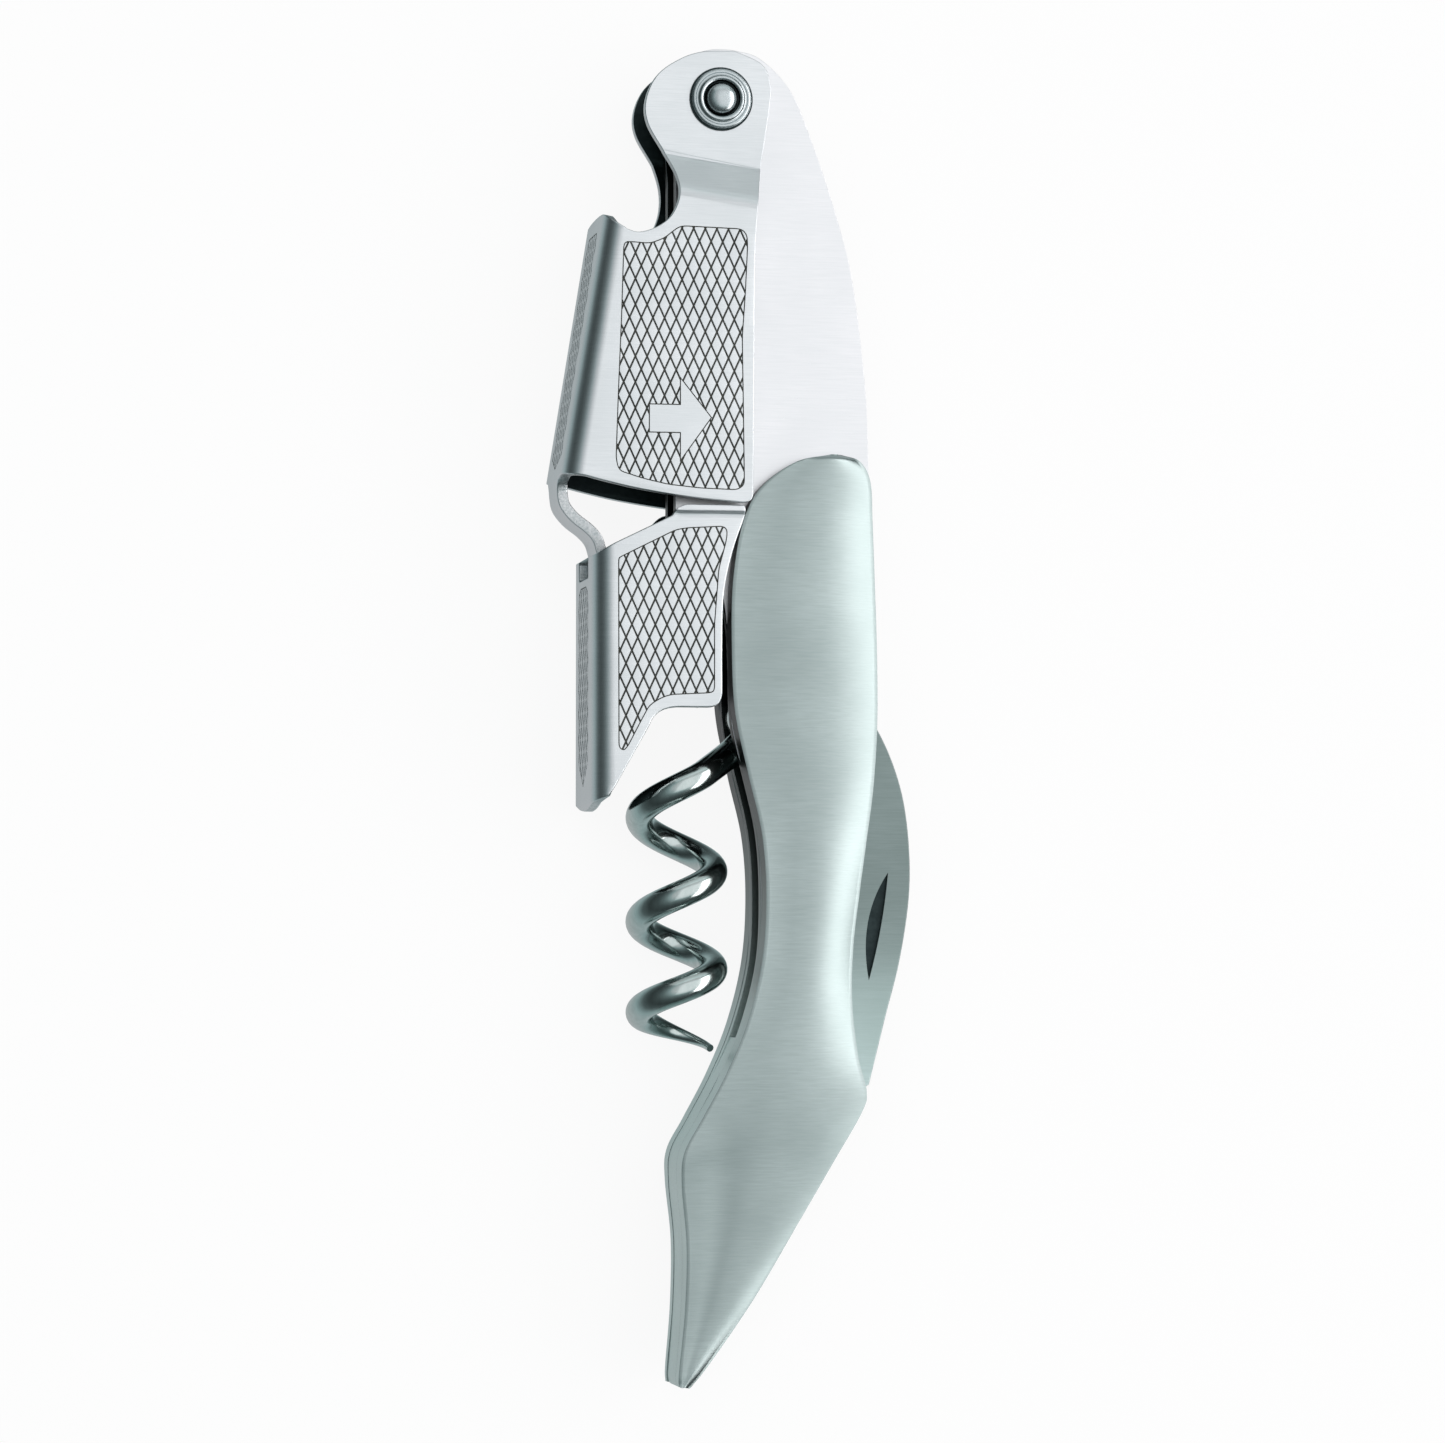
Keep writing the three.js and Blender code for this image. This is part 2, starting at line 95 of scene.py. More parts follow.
def facing(way):
    """The turn of a camera or light that stands towards `way` and looks back, with +Y up."""
    up = (Vector((0, 1, 0)) - way * way.y).normalized()
    return Matrix((up.cross(way), up, way)).transposed().to_euler()


CAMERA_AIM = (-0.45, -0.15, 0.0)
CAMERA_WAY = Vector((-0.178, -0.0538, 1.0)).normalized()
CAMERA_DISTANCE = 476.0
camera_data = bpy.data.cameras.new("camera")
camera_data.lens = 127
camera_data.sensor_width = 36
camera_data.clip_start = 0.01
camera = in_scene("camera", camera_data)
camera.location = placed(Vector(CAMERA_AIM) + CAMERA_WAY * CAMERA_DISTANCE)
camera.rotation_euler = facing(CAMERA_WAY)
bpy.context.scene.camera = camera
print("camera at", [round(c, 3) for c in camera.location])

# %% [markdown]
# ## Floor and studio light
# Steel shows only what it reflects. A broad soft box overhead fills the flat faces with even
# light, a narrow strip on the right draws the bright line along the domed shells, and a dim band
# round the horizon makes every bend and round wire go dark at its side. The floor is plain white,
# lit from above by a wash that only matt things see and a little from below, like a light table,
# which keeps its shadows faint.

# %% Colours
def linear(hex_colour, alpha=1.0):
    """An sRGB hex colour as linear light."""
    parts = [int(hex_colour[i:i + 2], 16) / 255 for i in (1, 3, 5)]
    light = [c / 12.92 if c <= 0.04045 else ((c + 0.055) / 1.055) ** 2.4 for c in parts]
    return (*light, alpha)


def add_node(tree, kind, links=None, **settings):
    """Adds a node: `settings` are its properties, or its inputs by name, and `links` feed inputs."""
    node = tree.nodes.new(kind)
    for key, value in settings.items():
        if hasattr(node, key):
            setattr(node, key, value)
        else:
            node.inputs[key.replace("_", " ")].default_value = value
    for socket, source in (links or {}).items():
        tree.links.new(source, node.inputs[socket])
    return node


# %% Studio
bpy.context.scene.view_settings.view_transform = "Standard"
LIGHT_CENTRE = Vector((0.34, 0.3, 1.0)).normalized()
WORLD_BANDS = [(0.0, 0.54), (0.18, 0.46), (0.33, 0.12), (0.5, 0.05), (0.67, 0.09), (0.787, 0.2),
               (0.854, 0.42), (0.91, 0.62), (0.953, 0.68), (1.0, 0.68)]


def make_world():
    """Light round LIGHT_CENTRE, dark a quarter turn away from it, and grey on the far side."""
    world = bpy.data.worlds.new("studio")
    bpy.context.scene.world = world
    world.use_nodes = True
    tree = world.node_tree
    tree.nodes.clear()
    add = partial(add_node, tree)
    way = add("ShaderNodeTexCoord")
    nearness = add("ShaderNodeVectorMath", {0: way.outputs["Generated"]},
             operation="DOT_PRODUCT")
    nearness.inputs[1].default_value = LIGHT_CENTRE
    share = add("ShaderNodeMapRange", {"Value": nearness.outputs["Value"]}, From_Min=-1.0)
    ramp = add("ShaderNodeValToRGB", {"Fac": share.outputs["Result"]})
    stops = ramp.color_ramp.elements
    for place, _ in WORLD_BANDS[1:-1]:
        stops.new(place)
    for stop, (place, light) in zip(stops, WORLD_BANDS):
        # The dim bands are cooler than the bright ones, which gives the steel its blue-green shade.
        red = 1.0 if light > 0.5 else 0.8
        stop.color = (light * red, light * 1.01, light * 1.03, 1)
    sky = add("ShaderNodeBackground", {"Color": ramp.outputs["Color"]})
    add("ShaderNodeOutputWorld", {"Surface": sky.outputs["Background"]})


def soft_light(name, towards, distance, size, radiance, tint=(1.0, 1.0, 1.0), glossy=True):
    """A rectangular light that looks at the tool from the direction `towards`."""
    data = bpy.data.lights.new(name, "AREA")
    data.shape = "RECTANGLE"
    data.size, data.size_y = size
    data.energy = radiance * math.pi * size[0] * size[1]
    data.color = tint
    light = in_scene(name, data)
    way = Vector(towards).normalized()
    light.location = way * distance
    light.rotation_euler = facing(way)
    light.visible_glossy = glossy
    light.visible_camera = False
    return light


make_world()
soft_light("overhead box", (0.3, 0.08, 1.0), 0.7, (0.6, 0.9), 0.36)
soft_light("right strip", (1.45, 0.0, 1.0), 0.6, (0.24, 0.9), 3.2, (1.0, 0.95, 0.95))
soft_light("upper card", (0.1, 1.0, 0.35), 0.7, (0.9, 0.45), 0.45)
soft_light("floor wash", (-0.1, 0.1, 1.0), 1.2, (2.6, 2.6), 0.95, glossy=False)

# %% Floor
def make_floor():
    size = 2.5
    corners = [(-size, -size, 0), (size, -size, 0), (size, size, 0), (-size, size, 0)]
    mesh = built_mesh("floor", corners, [(0, 1, 2, 3)])
    material = bpy.data.materials.new("opal acrylic light table")
    material.use_nodes = True
    shader = material.node_tree.nodes["Principled BSDF"]
    shader.inputs["Base Color"].default_value = linear("#444444")
    shader.inputs["Emission Color"].default_value = (1, 1, 1, 1)
    shader.inputs["Emission Strength"].default_value = 0.91
    shader.inputs["Roughness"].default_value = 0.9
    shader.inputs["Specular IOR Level"].default_value = 0.0
    mesh.materials.append(material)
    floor = in_scene("floor", mesh)
    floor.visible_glossy = False


make_floor()

# %% [markdown]
# ## Steels
# The whole tool is stainless steel, in several finishes. The flat faces are fine-brushed and pale,
# the shells are a darker satin and the worm is chromed. The floors of the knurled panels are
# painted nearly black, as painted shade between the pads. A brushed face is a great many parallel
# scratches: one noise pattern, stretched along the brushing, bends the light a little and changes
# the gloss a little.

# %% A brushed steel
def brushed_steel(name, colour, shade, roughness, grain, bump, spread=0.06, painted_shade_stops=()):
    """Stainless steel. `grain` is the size of one scratch in millimetres, along X, Y and Z, and
    `painted_shade_stops` are (Y in millimetres, brightness) stops that darken the colour along the tool
    as painted shade."""
    material = bpy.data.materials.new(name)
    material.use_nodes = True
    tree = material.node_tree
    tree.nodes.clear()
    add = partial(add_node, tree)
    at = add("ShaderNodeTexCoord")
    scale = [1 / (size * MM) for size in grain]
    scratch_space = add("ShaderNodeMapping", {"Vector": at.outputs["Object"]}, Scale=scale)
    scratches = add("ShaderNodeTexNoise", {"Vector": scratch_space.outputs["Vector"]},
              Scale=1.0, Detail=3.0, Roughness=0.6)
    # Slow changes of tone, about 9 mm across, as handling and polishing leave.
    clouds = add("ShaderNodeTexNoise", {"Vector": at.outputs["Object"]},
           Scale=1 / (9 * MM), Detail=2.0)
    tone = add("ShaderNodeMath", {0: scratches.outputs["Fac"], 1: clouds.outputs["Fac"]},
         operation="MULTIPLY")
    colours = add("ShaderNodeValToRGB", {"Fac": tone.outputs["Value"]})
    colours.color_ramp.elements[0].position = 0.12
    colours.color_ramp.elements[0].color = linear(shade)
    colours.color_ramp.elements[1].position = 0.4
    colours.color_ramp.elements[1].color = linear(colour)
    base = colours.outputs["Color"]
    # Painted shade: the colour is scaled darker along Y by the given stops.
    if painted_shade_stops:
        low, high = painted_shade_stops[0][0], painted_shade_stops[-1][0]
        parts = add("ShaderNodeSeparateXYZ", {"Vector": at.outputs["Object"]})
        up = add("ShaderNodeMapRange", {"Value": parts.outputs["Y"]},
           From_Min=low * MM, From_Max=high * MM)
        change = add("ShaderNodeFloatCurve", {"Value": up.outputs["Result"]})
        line = change.mapping.curves[0]
        for stop, (y, level) in zip((line.points[0], line.points[-1]), (painted_shade_stops[0], painted_shade_stops[-1])):
            stop.location = ((y - low) / (high - low), level)
        for y, level in painted_shade_stops[1:-1]:
            line.points.new((y - low) / (high - low), level)
        change.mapping.update()
        toned = add("ShaderNodeVectorMath", {0: base, "Scale": change.outputs["Value"]},
              operation="SCALE")
        base = toned.outputs["Vector"]
    gloss = add("ShaderNodeMapRange", {"Value": scratches.outputs["Fac"]},
          To_Min=roughness - spread, To_Max=roughness + spread)
    relief = add("ShaderNodeBump", {"Height": scratches.outputs["Fac"]},
           Strength=bump, Distance=0.02 * MM)
    shader = add("ShaderNodeBsdfPrincipled",
           {"Base Color": base, "Roughness": gloss.outputs["Result"],
            "Normal": relief.outputs["Normal"]}, Metallic=1.0)
    add("ShaderNodeOutputMaterial", {"Surface": shader.outputs["BSDF"]})
    return material


# %% The finishes
# Fine belt-brushed sheet, 0.12 mm between scratches: pale, with a soft even gloss.
LEVER_STEEL = brushed_steel("brushed stainless sheet", "#e6eaec", "#d9dee0", 0.32, (2.5, 0.12, 0.6),
                            0.25)
# The plates are ground flat before they are cut, so they are the palest and smoothest.
LINER_STEEL = brushed_steel("ground stainless plate", "#f1f2f4", "#e8eaec", 0.3, (3.0, 0.14, 0.6),
                            0.08)
# The shells are brushed straight across, over a darker grey-green satin.
SHELL_STEEL = brushed_steel("satin stainless shell", "#a9b6b5", "#9aa7a6", 0.36, (2.4, 0.14, 0.5),
                            0.35)
# The handle's left side has the levers' shade painted into its colour down to its waist, and is bright
# below it.
SHADE_PAINTED_SIDE_STEEL = brushed_steel("satin handle side, painted shade", "#e2f2ef", "#d2e2df", 0.4, (0.3, 0.3, 0.3), 0.2,
                           painted_shade_stops=((-32, 1.0), (-26, 0.66), (-20, 0.34), (-11, 0.15), (-3, 0.04),
                                  (8, 0.03)))
# A punched edge is torn as much as cut, so it glitters in grains of 0.25 mm.
EDGE_STEEL = brushed_steel("punched stainless edge", "#f2f4f5", "#a5afb1", 0.4, (0.22, 0.22, 0.22),
                           1.0, 0.15)
# The blade is brushed across its length, and its colour is darkened towards the handle's head as
# painted shade.
BLADE_STEEL = brushed_steel("brushed blade steel, painted shade", "#bed1cf", "#aec2bf", 0.33, (3.0, 0.14, 0.5), 0.3,
                            painted_shade_stops=((-34, 1.0), (-27, 0.85), (-20, 0.52), (-10, 0.48)))
# Turned heads: fine rings and a brighter polish.
RIVET_STEEL = brushed_steel("turned rivet steel", "#ccd4d6", "#bac3c5", 0.27, (0.3, 0.3, 0.3), 0.1)
# Chrome over steel, buffed to a mirror.
WORM_CHROME = brushed_steel("buffed chrome", "#d3dddb", "#bfcbc9", 0.17, (0.5, 1.5, 0.5), 0.12, 0.05)
# The floors between the diamonds are painted dark, as painted shade down between the pads.
SHADED_KNURL_FLOOR_STEEL = brushed_steel("knurl floor, painted shade", "#66665f", "#4a4a46", 0.6, (0.1, 0.1, 0.1), 0.4)
# The inside of the channels, the crevices round the rivet and the floor of the blade's nick are painted
# dark as shade.
SHADE_PAINTED_STEEL = brushed_steel("dark steel, painted shade", "#3a4546", "#2b3435", 0.5, (0.6, 0.6, 0.6), 0.3)
# Inner pieces keep a plain mill finish.
INNER_STEEL = brushed_steel("mill-finish steel", "#6f7778", "#5c6465", 0.45, (0.4, 0.4, 0.4), 0.3)
print("finishes:", [m.name for m in bpy.data.materials])

# %% [markdown]
# ## Outlines and smooth lines
# A stamped part starts as an outline: straight runs, smooth runs through a few points, rounded
# corners and arcs. These helpers lay out those runs as points about 0.4 mm apart.

# %% Smooth lines
def smooth_line(points, step=0.4, steps=None):
    """A smooth line through the points, flat or in space. `steps` gives every run as many points."""
    knots = [Vector(p) for p in points]
    knots = [knots[0] * 2 - knots[1], *knots, knots[-1] * 2 - knots[-2]]
    line = []
    for before, here, after, beyond in zip(knots, knots[1:], knots[2:], knots[3:]):
        count = steps or max(2, round((after - here).length / step))
        for i in range(count):
            t = i / count
            bend = (2 * before - 5 * here + 4 * after - beyond) * t ** 2
            twist = (3 * here - before - 3 * after + beyond) * t ** 3
            line.append(0.5 * (2 * here + (after - before) * t + bend + twist))
    line.append(Vector(points[-1]))
    return line


class Outline:
    """A closed outline, built run by run."""

    def __init__(self, x, y):
        self.points = [Vector((x, y))]

    def line(self, *points):
        self.points += [Vector(p) for p in points]
        return self

    def smooth(self, *points):
        self.points += smooth_line([self.points[-1], *points])[1:]
        return self

    def corner(self, control, end, steps=6):
        start, control, end = self.points[-1], Vector(control), Vector(end)
        for i in range(1, steps + 1):
            t = i / steps
            self.points.append(start * (1 - t) ** 2 + control * 2 * t * (1 - t) + end * t ** 2)
        return self

    def arc(self, centre, radius, start, end, steps=16):
        for i in range(steps + 1):
            angle = start + (end - start) * i / steps
            self.points.append(Vector(centre) + Vector((math.cos(angle), math.sin(angle))) * radius)
        return self


def circle(centre, radius, steps=40):
    return Outline(centre[0] + radius, centre[1]).arc(centre, radius, 0, math.tau, steps).points


def tidy_loop(points, clockwise):
    """The loop without repeated points, turned the wanted way round."""
    loop = []
    for p in points:
        if not loop or (p - loop[-1]).length > 1e-3:
            loop.append(p)
    if (loop[0] - loop[-1]).length < 1e-3:
        loop.pop()
    area = sum(a.x * b.y - b.x * a.y for a, b in zip(loop, loop[1:] + loop[:1]))
    return loop if (area < 0) == clockwise else loop[::-1]


# %% [markdown]
# ## Plates
# Blender's flat curves are made for stamped parts: fill the outline, give it half its thickness
# to each side, and roll its rim over with a small bevel. The curve is then made a plain mesh.

# %% Plates
def evaluated_mesh(source):
    """A plain mesh of what the object shows. The object goes."""
    bpy.context.view_layer.update()
    graph = bpy.context.evaluated_depsgraph_get()
    mesh = bpy.data.meshes.new_from_object(source.evaluated_get(graph))
    bpy.data.objects.remove(source)
    return mesh


def staged(data):
    return in_scene("bench", data)


def cleaned(mesh):
    """Merges doubled points and turns all faces outwards."""
    work = bmesh.new()
    work.from_mesh(mesh)
    bmesh.ops.remove_doubles(work, verts=work.verts, dist=2e-4)
    bmesh.ops.dissolve_degenerate(work, edges=work.edges, dist=1e-5)
    bmesh.ops.recalc_face_normals(work, faces=work.faces)
    work.to_mesh(mesh)
    work.free()
    return mesh


def plate(outline, low, high, rim=0.12, holes=(), inset=0.0):
    """A flat plate from one height to another, its rim rounded by `rim`."""
    curve = bpy.data.curves.new("plate", "CURVE")
    curve.dimensions = "2D"
    curve.fill_mode = "BOTH"
    curve.extrude = (high - low) / 2 - rim
    curve.bevel_depth = rim
    curve.bevel_resolution = 2
    curve.offset = -rim - inset
    for points, clockwise in [(outline, False), *((hole, True) for hole in holes)]:
        loop = tidy_loop(points, clockwise)
        spline = curve.splines.new("POLY")
        spline.points.add(len(loop) - 1)
        for target, point in zip(spline.points, loop):
            target.co = (point.x, point.y, 0, 1)
        spline.use_cyclic_u = True
    mesh = evaluated_mesh(staged(curve))
    shift_mesh(mesh, (0, 0, (low + high) / 2))
    return cleaned(mesh)


def mesh_points(mesh):
    points = np.empty(len(mesh.vertices) * 3)
    mesh.vertices.foreach_get("co", points)
    return points.reshape(-1, 3)


def set_points(mesh, points):
    mesh.vertices.foreach_set("co", np.asarray(points, float).ravel())
    mesh.update()


def shift_mesh(mesh, by):
    set_points(mesh, mesh_points(mesh) + np.array(by))


def mirrored(mesh):
    """The same piece behind the middle plane, its faces still outwards."""
    back = mesh.copy()
    set_points(back, mesh_points(back) * (1, 1, -1))
    back.flip_normals()
    return back


def cut(mesh, tool, operation="DIFFERENCE"):
    """Cuts one closed mesh with another, or joins them."""
    target, cutter = staged(mesh), staged(tool)
    boolean = target.modifiers.new("cut", "BOOLEAN")
    boolean.operation = operation
    boolean.solver = "EXACT"
    boolean.object = cutter
    made = evaluated_mesh(target)
    bpy.data.objects.remove(cutter)
    return made


def mark_walls(mesh, inner_height=None):
    """Marks the faces that look to the left, and those of the slot, as side walls (material 1), which
    carry the handle side's painted shade.
    """
    for face in mesh.polygons:
        left = face.normal.x < -0.25 and abs(face.normal.z) < 0.4
        inside = inner_height is not None and abs(face.center.z - inner_height) < 0.01
        face.material_index = int(left or inside)
    return mesh


# %% Finished pieces
pieces = []


def finish_piece(name, mesh, body, nodes, materials, sharp=35, even=True):
    """Gives the mesh its finish and its place, and says what it stands for."""
    for material in materials:
        mesh.materials.append(material)
    set_points(mesh, placed(mesh_points(mesh)))
    mesh.shade_smooth()
    mesh.set_sharp_from_angle(angle=math.radians(sharp))
    piece = staged(mesh)
    if even:
        # Large flat faces set the normals, so that only the rounded rims shade as round.
        weighted = piece.modifiers.new("even", "WEIGHTED_NORMAL")
        weighted.keep_sharp = True
        piece = staged(evaluated_mesh(piece))
    piece.name = name
    piece.data.name = name
    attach(piece, body)
    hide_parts(*nodes)
    pieces.append(piece)
    print(f"{name}: {len(piece.data.polygons)} faces")


def finish_both(name, mesh, body, node, materials, sharp=35, even=True):
    """Finishes a front piece and its mirror image at the rear. `{}` in a name stands for the side."""
    for side, made in (("front", mesh), ("rear", mirrored(mesh))):
        finish_piece(name.format(side), made, body, [node.format(side)], materials, sharp, even)


# %% [markdown]
# ## Liner plates
# Two ground plates run the whole length of the handle, with the slot for the worm and the blade
# between them. They are simple stampings, so each is one filled outline with a fine rounded rim.

# %% Liner plates
LINER_LOW, LINER_HIGH = 1.7, 2.9
liner_outline = (
    Outline(-0.9, 11.5).line((-5.4, 18.5), (-5.4, 50.5), (-5.9, 56.0))
    .arc(RIVET, 4.9, math.pi * 1.1, math.pi * 0.5)
    .smooth((0.2, 62.5), (2.6, 61.8), (5.4, 59.0), (7.4, 54.5), (9.8, 47.4), (11.4, 41.0),
            (12.6, 31.1), (12.9, 23.5), (13.1, 12.0), (13.2, 1.0), (12.6, -8.0), (11.5, -16.0),
            (10.8, -24.0), (11.9, -33.6))
    .corner((12.2, -34.8), (11.6, -36.2))
    .line((4.5, -48.4), (-4.4, -61.7))
    .corner((-5.15, -62.1), (-5.15, -60.8))
    .smooth((-4.65, -54.5), (-4.55, -48.5), (-5.05, -43.0), (-4.85, -40.1), (-3.25, -37.1),
            (-1.05, -33.0), (0.95, -28.2), (2.35, -22.5), (2.65, -16.5), (2.3, -10.8), (1.05, -5.2),
            (0.3, -2.6), (-0.2, 0.5), (-0.4, 7.0), (-0.9, 11.5))
).points
liner_holes = [circle(RIVET, RIVET_HOLE), circle(WORM_PIVOT, WORM_HOLE),
               circle(BLADE_PIVOT, BLADE_HOLE)]
liner_mesh = mark_walls(plate(liner_outline, LINER_LOW, LINER_HIGH, 0.04, liner_holes), LINER_LOW)
liner_steels = [LINER_STEEL, SHADE_PAINTED_SIDE_STEEL]
finish_both("liner_plate_{}", liner_mesh, "handle", "{}_liner", liner_steels)

# %% [markdown]
# ## Spine bar and tail block
# A bar closes the slot along the right edge, and a block fills it at the tail, below the blade.

# %% Spine bar and tail block
def ribbon(points, width):
    """The outline of a strip of even width along a smooth line."""
    line = smooth_line(points, 0.8)
    left, right = [], []
    for i, at in enumerate(line):
        way = (line[min(i + 1, len(line) - 1)] - line[max(i - 1, 0)]).normalized()
        aside = Vector((-way.y, way.x)) * width / 2
        left.append(at + aside)
        right.append(at - aside)
    return left + right[::-1]


bar_line = [(3.6, 58.2), (6.6, 52.0), (8.9, 45.0), (10.4, 37.0), (11.3, 28.0), (11.7, 18.0),
            (11.9, 5.0)]
bar_mesh = plate(ribbon(bar_line, 2.2), -LINER_LOW, LINER_LOW, 0.08)
finish_piece("spine_bar", bar_mesh, "handle", ["back_bar"], [INNER_STEEL])

tail_outline = (
    Outline(0.6, -29.6)
    .smooth((-1.05, -33.0), (-3.25, -37.1), (-4.85, -40.1), (-5.05, -43.0), (-4.55, -48.5),
            (-4.65, -54.5), (-5.15, -60.8))
    .corner((-5.15, -62.1), (-4.4, -61.7))
    .line((4.2, -48.8), (8.1, -42.4))
    .arc(BLADE_PIVOT, 5.6, math.pi * 1.39, math.pi * 0.84)
    .line((3.0, -29.6))
).points
tail_mesh = mark_walls(plate(tail_outline, -LINER_LOW, LINER_LOW, 0.03))
finish_piece("tail_block", tail_mesh, "handle", ["tail_spacer"],
             [SHELL_STEEL, SHADE_PAINTED_SIDE_STEEL])

# %% [markdown]
# ## Handle shells
# The shells are domed castings, waisted like a bottle. Their shape is a ruled surface: one smooth
# rail down each side, and between them a low dome whose height changes down the handle. A small
# chamfer round the rim catches the light, as the tumbled edge of the real one does.

# %% Shell rails and heights
SHELL_BASE = 2.9
SHELL_LEFT = [(9.2, 24.7), (5.6, 23.8), (2.2, 21.2), (0.5, 17.8), (-0.4, 12.5), (-0.5, 6.5),
              (-0.2, 0.5), (1.0, -5.2), (2.3, -10.8), (2.7, -16.5), (2.3, -22.5), (0.9, -28.2),
              (-1.1, -33.0), (-3.3, -37.1), (-4.9, -40.1), (-5.1, -43.0), (-4.6, -48.5),
              (-4.7, -54.5), (-5.2, -60.2), (-5.2, -61.6)]
SHELL_RIGHT = [(10.2, 24.7), (12.0, 24.1), (13.0, 22.2), (13.2, 18.5), (13.4, 13.0), (13.6, 6.5),
               (13.6, 0.0), (13.2, -6.0), (12.5, -11.3), (11.8, -16.3), (11.2, -21.3), (11.1, -26.3),
               (11.7, -31.4), (12.5, -34.6), (12.0, -36.6), (9.3, -41.2), (6.1, -46.6), (1.9, -53.6),
               (-2.3, -59.6), (-4.1, -61.8)]
RIM_HEIGHTS = [(0, 3.4), (0.1, 3.4), (0.25, 3.35), (0.4, 3.8), (0.55, 3.9), (0.7, 3.7), (1, 3.5)]
DOME_RISES = [(0, 0.4), (0.05, 1.1), (0.2, 1.85), (0.4, 1.5), (0.6, 1.5), (0.72, 1.35), (0.85, 0.8),
              (1, 0.3)]
RIM_CHAMFER, RIM_DROP = 0.3, 0.07
CREST = -0.45
LEFT_LIFT = 0.09
DOME_POWER = 2.1
GROOVE_WIDTH = 0.27
TAIL_HOLLOWS = [(0, 0), (0.68, 0), (0.82, 0.22), (0.94, 0.1), (1, 0)]


def dome_share(a, hollow):
    """The dome's height at `a`, -1 at the left rim and 1 at the right: a low lip on the left, nearly
    flat to the crest, then falling ever faster to the right rim. `hollow` sinks a soft groove."""
    groove = hollow * math.exp(-((a - CREST) / GROOVE_WIDTH) ** 2)
    if a < CREST:
        return 1 + LEFT_LIFT * ((CREST - a) / (1 + CREST)) ** 2 - groove
    return 1 - ((a - CREST) / (1 - CREST)) ** DOME_POWER - groove


def rail(points, rows):
    """Points along a smooth rail, evenly spaced by its knots."""
    return np.array(smooth_line(points, steps=(rows - 1) // (len(points) - 1)))


def eased(at, stops):
    """A value that eases smoothly from stop to stop."""
    places = [place for place, _ in stops]
    values = [value for _, value in stops]
    k = min(max(np.searchsorted(places, at) - 1, 0), len(stops) - 2)
    t = (at - places[k]) / (places[k + 1] - places[k])
    return values[k] + (values[k + 1] - values[k]) * t * t * (3 - 2 * t)


# %% Shell mesh
def shell_mesh(columns=60, rows=19 * 14 + 1):
    left, right = rail(SHELL_LEFT, rows), rail(SHELL_RIGHT, rows)
    points, faces = [], []
    across = -np.cos(np.linspace(0, math.pi, columns - 2))
    for row in range(rows):
        at = row / (rows - 1)
        rim, rise, hollow = eased(at, RIM_HEIGHTS), eased(at, DOME_RISES), eased(at, TAIL_HOLLOWS)
        half = (right[row] - left[row]) / 2
        middle = (right[row] + left[row]) / 2
        width = max(np.linalg.norm(half), 0.3)
        inner = 1 - min(RIM_CHAMFER / width, 0.5)
        outer_ring = [(-1, SHELL_BASE), (-1, rim + rise * dome_share(-1, hollow) - RIM_DROP)]
        dome = [(a * inner, rim + rise * dome_share(a, hollow)) for a in across]
        for a, z in [*outer_ring, *dome, (1, rim - RIM_DROP), (1, SHELL_BASE)]:
            points.append((*(middle + half * a), z))
    ring = columns + 2
    for row in range(rows - 1):
        for k in range(ring):
            a, b = row * ring + k, row * ring + (k + 1) % ring
            faces.append((a, b, b + ring, a + ring))
    faces.append(tuple(range(ring))[::-1])
    faces.append(tuple(range((rows - 1) * ring, rows * ring)))
    return cleaned(built_mesh("shell", points, faces))


shell = mark_walls(shell_mesh())
shell_steels = [SHELL_STEEL, SHADE_PAINTED_SIDE_STEEL]
finish_both("handle_shell_{}", shell, "handle", "{}_shell", shell_steels, 50, False)

# %% [markdown]
# ## Bent sheet
# Both levers are stamped flat and then folded into channels, and they are made that way here too.
# A flat pattern has the distance across the sheet, 0 at the middle of the spine, and the distance
# along it. Panels are sunk and diamonds are cut while it is flat. Folding then only moves points:
# the spine stays flat, each bend rolls round its radius, and the flanges stand square to the spine.

# %% Channel
SHEET = 1.0
BEND = 2.0
HALF_THICKNESS = 6.5
BEND_MIDDLE = BEND - SHEET / 2
SPINE_HALF = HALF_THICKNESS - BEND
FLANGE_START = SPINE_HALF + BEND_MIDDLE * math.pi / 2


class Channel:
    """A bent channel whose spine's outer face stands on a line through `foot`, leaning `lean`."""

    def __init__(self, foot, lean):
        self.foot = np.array(foot)
        self.along = np.array([math.sin(lean), math.cos(lean)])
        self.out = np.array([math.cos(lean), -math.sin(lean)])

    def flat(self, points):
        """Points drawn on the front flange, as points of the flat pattern."""
        away = np.array([tuple(p) for p in points]) - self.foot
        across = FLANGE_START + away @ self.out - BEND
        return [Vector(p) for p in zip(across, away @ self.along)]

    def fold(self, points):
        across, along, raised = points.T
        reach = np.abs(across)
        turn = np.clip((reach - SPINE_HALF) / BEND_MIDDLE, 0, math.pi / 2)
        beyond = np.maximum(reach - FLANGE_START, 0)
        depth = BEND - (BEND_MIDDLE + raised) * np.cos(turn) + beyond
        height = np.minimum(reach, SPINE_HALF) + (BEND_MIDDLE + raised) * np.sin(turn)
        flat_place = self.foot + np.outer(depth, self.out) + np.outer(along, self.along)
        return np.column_stack([flat_place, height * np.sign(across)])


def both_sides(half):
    """A half outline from the foot to the head of the middle line, and its mirror image."""
    return half + [Vector((-p.x, p.y)) for p in half[::-1]]


